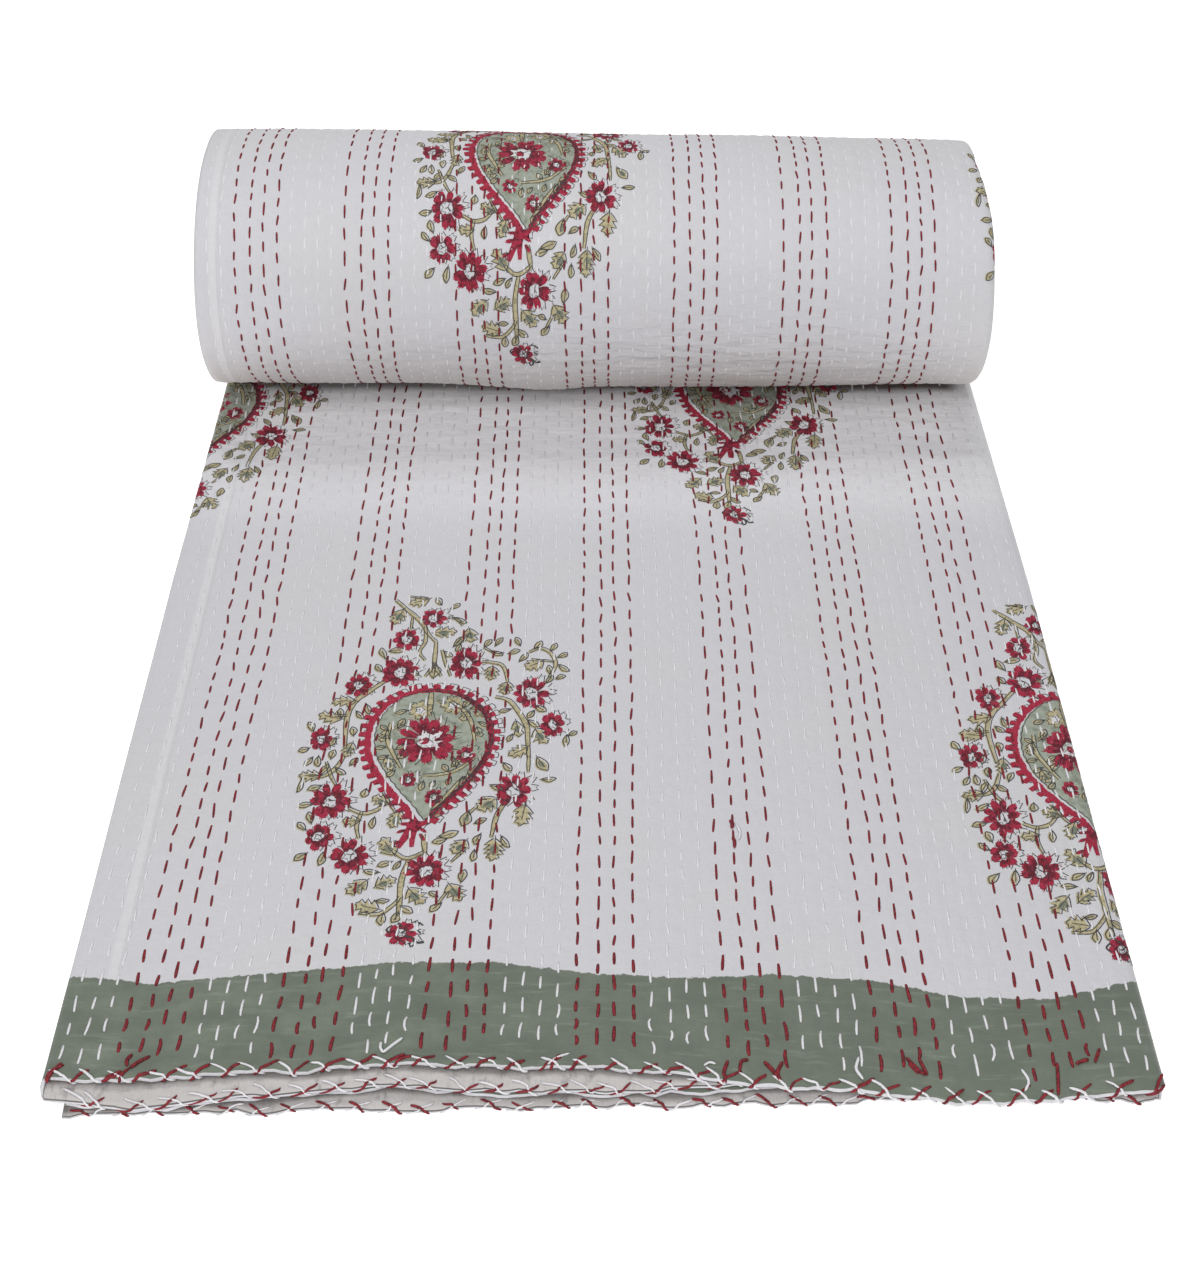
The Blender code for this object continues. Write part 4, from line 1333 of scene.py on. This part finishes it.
def add_medallion(blocks, rng):
    """The sage drop with its scalloped outline, and the crimson border with its teeth and feet."""
    inner = through(MEDALLION, 1.6, True)
    out = -along_line(inner, True)
    out *= np.sign(np.sum(out * inner))
    edge = inner + rng.uniform(-0.4, 0.4, inner.shape)
    blocks["sage"].add(filled(edge, np.array(SAGE_MIDDLE), 20) + SAGE_SHIFT, rng, True)
    scallops = SCALLOP * np.sin(np.pi * np.arange(len(inner)) / 4) ** 2
    rim = inner + out * scallops[:, None] + np.array(RIM_SHIFT)
    blocks["line"].add(ribbon(rim, OUTLINE_WIDTH / 2.4, 2, True), rng, True)
    step = np.hypot(*(np.roll(inner, -1, 0) - inner).T)
    run = np.concatenate(([0], np.cumsum(step)))
    places, reach = border_teeth(run[-1], rng)
    ring, away = (
        np.stack([np.interp(places % run[-1], run, np.append(a[:, k], a[0, k])) for k in (0, 1)], 1)
        for a in (inner, out)
    )
    away /= np.linalg.norm(away, axis=1, keepdims=True)
    wobble = rng.uniform(-0.45, 0.45, len(ring))
    low = rng.uniform(-0.5, 0.5, len(ring))
    solid, full = BAND + wobble, BAND + wobble + reach
    depth = np.stack([low, 0 * low + BAND / 2, solid, solid + reach * 0.5, full], 1)
    right = smooth(0.5 + ring[:, 0] / 40)[:, None]      # darker where the sage lies below it
    pale = 1 - right * BORDER_DARK[None, :]
    blocks["crimson"].add(ring[:, None] + away[:, None] * depth[:, :, None], rng, True, pale)
    edge = ring + away * (full * 0.97)[:, None] + np.array(GHOST_SHIFT) * 0.8
    blocks["ghost"].add(ribbon(edge, OUTLINE_WIDTH / 2.2, 2, True), rng, True)
    for half, *points in FEET:
        foot = through(points)
        blocks["crimson"].add(ribbon(foot, np.linspace(half, half / 2, len(foot)), 4), rng)
    for x, y, direction in SPURS:
        blocks["crimson"].add(turned(petal(6, 0, 1.9, rng), direction, (x, y)), rng)


# Heavy strokes by the lowest flower, where the outline block took up too much ink.
BLOTS = (
    (1.7, (-3, -158), (1, -160), (4, -163), (7, -162)), (1.2, (1, -160), (2, -164), (0, -166), (-1, -163)),
    (1.0, (1, -147), (4, -148), (6, -150)), (1.0, (3, -153), (5, -156)),
    (1.2, (-11, -150), (-14, -153), (-12, -156)), (0.9, (-6, -161), (-3, -164)),
    (0.9, (-2, -153), (-6, -156)), (1.0, (-8, -148), (-5, -151)),
)


def make_blocks(seed):
    """The blocks of one motif, with small slips of its own."""
    rng = np.random.default_rng(seed)
    names = ("sage", "bare", "olive", "heart", "crimson", "ghost", "line")
    blocks = {name: Block() for name in names}
    add_medallion(blocks, rng)
    add_flower(blocks, BIG_FLOWER, rng, True)
    add_eye(blocks, BIG_FLOWER, rng)
    for n, flower in enumerate(FLOWERS):
        add_flower(blocks, flower, rng, n < INNER_FLOWERS)
    for flower in OLIVE_FLOWERS:
        add_flower(blocks, flower, rng, True, "olive")
    for leaf in LEAVES:
        add_leaf(blocks, leaf, rng)
    for x, y, direction, length, width in SMALL_LEAVES:
        add_leaf(blocks, (x, y, direction, length, width, 1, 0), rng)
    for stem in STEMS:
        add_stem(blocks, stem, rng)
    for width, *points in BLOTS:
        line = through(points)
        blocks["line"].add(ribbon(line, width / 2 * rng.uniform(0.7, 1.2, len(line)), 2), rng)
    return blocks


# ink, its blocks with their lifts in millimetres
INKS = (
    ("sage", (("sage", 0.10),)),
    ("bare", (("bare", 0.17),)),
    ("olive", (("olive", 0.15),)),
    ("heart", (("heart", 0.19),)),
    ("crimson", (("crimson", 0.20),)),
    ("outline", (("ghost", 0.12), ("line", 0.25))),
)


def add_print(patches, materials):
    """The motifs in each ink, as thin meshes that follow the quilted cloth."""
    slips = np.random.default_rng(77)
    made = {ink: ([], [], [], 0) for ink, _ in INKS}
    for side, x0, v0, way, lean, tilt, taller, seed in MOTIFS:
        blocks = make_blocks(seed)
        for ink, parts in INKS:
            slip = slips.normal(0, 0.35, 2)
            for name, lift in parts:
                block = blocks[name]
                xy = np.concatenate(block.points) + slip
                xy[:, 1] *= np.where(xy[:, 1] < 0, taller, 1)
                across = x0 + (xy[:, 0] - lean * xy[:, 1]) / 1000
                along = v0 + way * (xy[:, 1] + tilt * xy[:, 0]) / 1000
                points, normals, inside = patches[side].at(across, along, lift / 1000)
                faces = np.concatenate(block.faces)
                faces = faces[inside[faces].all(1)]
                one, two, three = points[faces[:, 0]], points[faces[:, 1]], points[faces[:, 3]]
                facing = np.sum(np.cross(two - one, three - one) * normals[faces[:, 0]], 1)
                faces[facing < 0] = faces[facing < 0][:, ::-1]
                used, faces = np.unique(faces, return_inverse=True)
                all_points, all_faces, all_marks, count = made[ink]
                all_points.append(points[used])
                all_faces.append(faces.reshape(-1, 4) + count)
                all_marks.append(np.concatenate(block.marks)[used])
                made[ink] = (all_points, all_faces, all_marks, count + len(used))
    for ink, (points, faces, marks, _) in made.items():
        faces = np.concatenate(faces).tolist()
        piece = add_mesh(f"print_{ink}", np.concatenate(points), faces, materials[ink])
        stroke = piece.data.attributes.new("stroke", "FLOAT_VECTOR", "POINT")
        stroke.data.foreach_set("vector", np.concatenate(marks).astype(np.float32).ravel())
        finish(piece)


# ---------------------------------------------------------------- camera, light and floor
FLOOR_REACH = 6.0
ROOM_LIGHT = 0.15
CAMERA_PLACE = (-0.0107, -0.5797, 0.8203)       # from the hem's middle
CAMERA_DOWN, CAMERA_YAW, CAMERA_ROLL = (math.radians(a) for a in (41.013, 0.583, 0.628))
FOCAL_PIXELS = 1900
FRAME_PIXELS = (1200, 1263)


def add_camera():
    data = bpy.data.cameras.new("camera")
    data.sensor_fit = "VERTICAL"
    data.sensor_height = 36
    data.lens = FOCAL_PIXELS / FRAME_PIXELS[1] * data.sensor_height
    camera = bpy.data.objects.new("camera", data)
    aim = Matrix.Rotation(-CAMERA_YAW, 4, "Z") @ Matrix.Rotation(math.pi / 2 - CAMERA_DOWN, 4, "X")
    aim = aim @ Matrix.Rotation(CAMERA_ROLL, 4, "Z")
    camera.matrix_world = Matrix.Translation(Vector(CAMERA_PLACE) + Vector(SHIFT)) @ aim
    bpy.context.scene.collection.objects.link(camera)
    bpy.context.scene.camera = camera


def add_floor():
    mesh = bpy.data.meshes.new("floor")
    corners = [(x * FLOOR_REACH, y * FLOOR_REACH, 0) for x, y in ((-1, -1), (1, -1), (1, 1), (-1, 1))]
    mesh.from_pydata(corners, [], [(0, 1, 2, 3)])
    mesh.materials.append(floor_material())
    floor = bpy.data.objects.new("floor", mesh)
    bpy.context.scene.collection.objects.link(floor)


# name, size, watts, place
SOFTBOXES = (
    ("softbox", (2.2, 1.7), 40.5, (-0.35, -1.60, 2.35)),
    ("front_fill", (1.6, 0.7), 19, (-0.10, -2.30, 1.45)),
    ("back_fill", (1.8, 1.0), 30, (-0.20, 1.30, 2.50)),
)


def add_light():
    """A wide softbox high in front of the quilt, two weaker ones, and a white room."""
    world = bpy.data.worlds.new("studio")
    bpy.context.scene.world = world
    world.use_nodes = True
    room = world.node_tree.nodes["Background"]
    room.inputs["Color"].default_value = (1, 1, 1, 1)
    room.inputs["Strength"].default_value = ROOM_LIGHT
    for name, size, energy, place_at in SOFTBOXES:
        data = bpy.data.lights.new(name, "AREA")
        data.shape = "RECTANGLE"
        data.size, data.size_y = size
        data.energy = energy
        light = bpy.data.objects.new(name, data)
        light.location = place_at
        light.rotation_euler = Vector(place_at).to_track_quat("Z", "Y").to_euler()
        bpy.context.scene.collection.objects.link(light)
    bpy.context.scene.view_settings.view_transform = "Standard"


def main():
    add_camera()
    add_floor()
    add_light()
    patches = make_patches(*add_cloth())
    threads = {
        "red": thread_material("red_thread", RED_THREAD, RED_THREAD_DARK),
        "white": thread_material("white_thread", WHITE_THREAD, COTTON),
    }
    add_running_stitches("flat", patches["flat"], FIRST_FROM_HEM, FLAT_SHOWN, 31, threads)
    add_running_stitches("roll", patches["roll"], *along_cloth(ROLL_STITCHED), 32, threads)
    add_hem_threads(threads)
    inks = {
        "sage": ink_material("sage_ink", SAGE_LIGHT, SAGE_DARK, 0.40, 0.72, scale=210),
        "olive": ink_material("olive_ink", OLIVE_LIGHT, OLIVE_DARK, 0.46, 0.66),
        "heart": ink_material("heart_ink", HEART, OLIVE_DARK, 0.50, 0.70),
        "crimson": ink_material("crimson_ink", CRIMSON, WINE, 0.50, 0.70, 0.28, FADED, 330),
        "bare": ink_material("bare_cotton", COTTON, COTTON_WARM, 0.4, 0.6),
        "outline": ink_material("outline_ink", OUTLINE, HEART, 0.58, 0.72),
    }
    add_print(patches, inks)
    bpy.context.view_layer.update()


main()
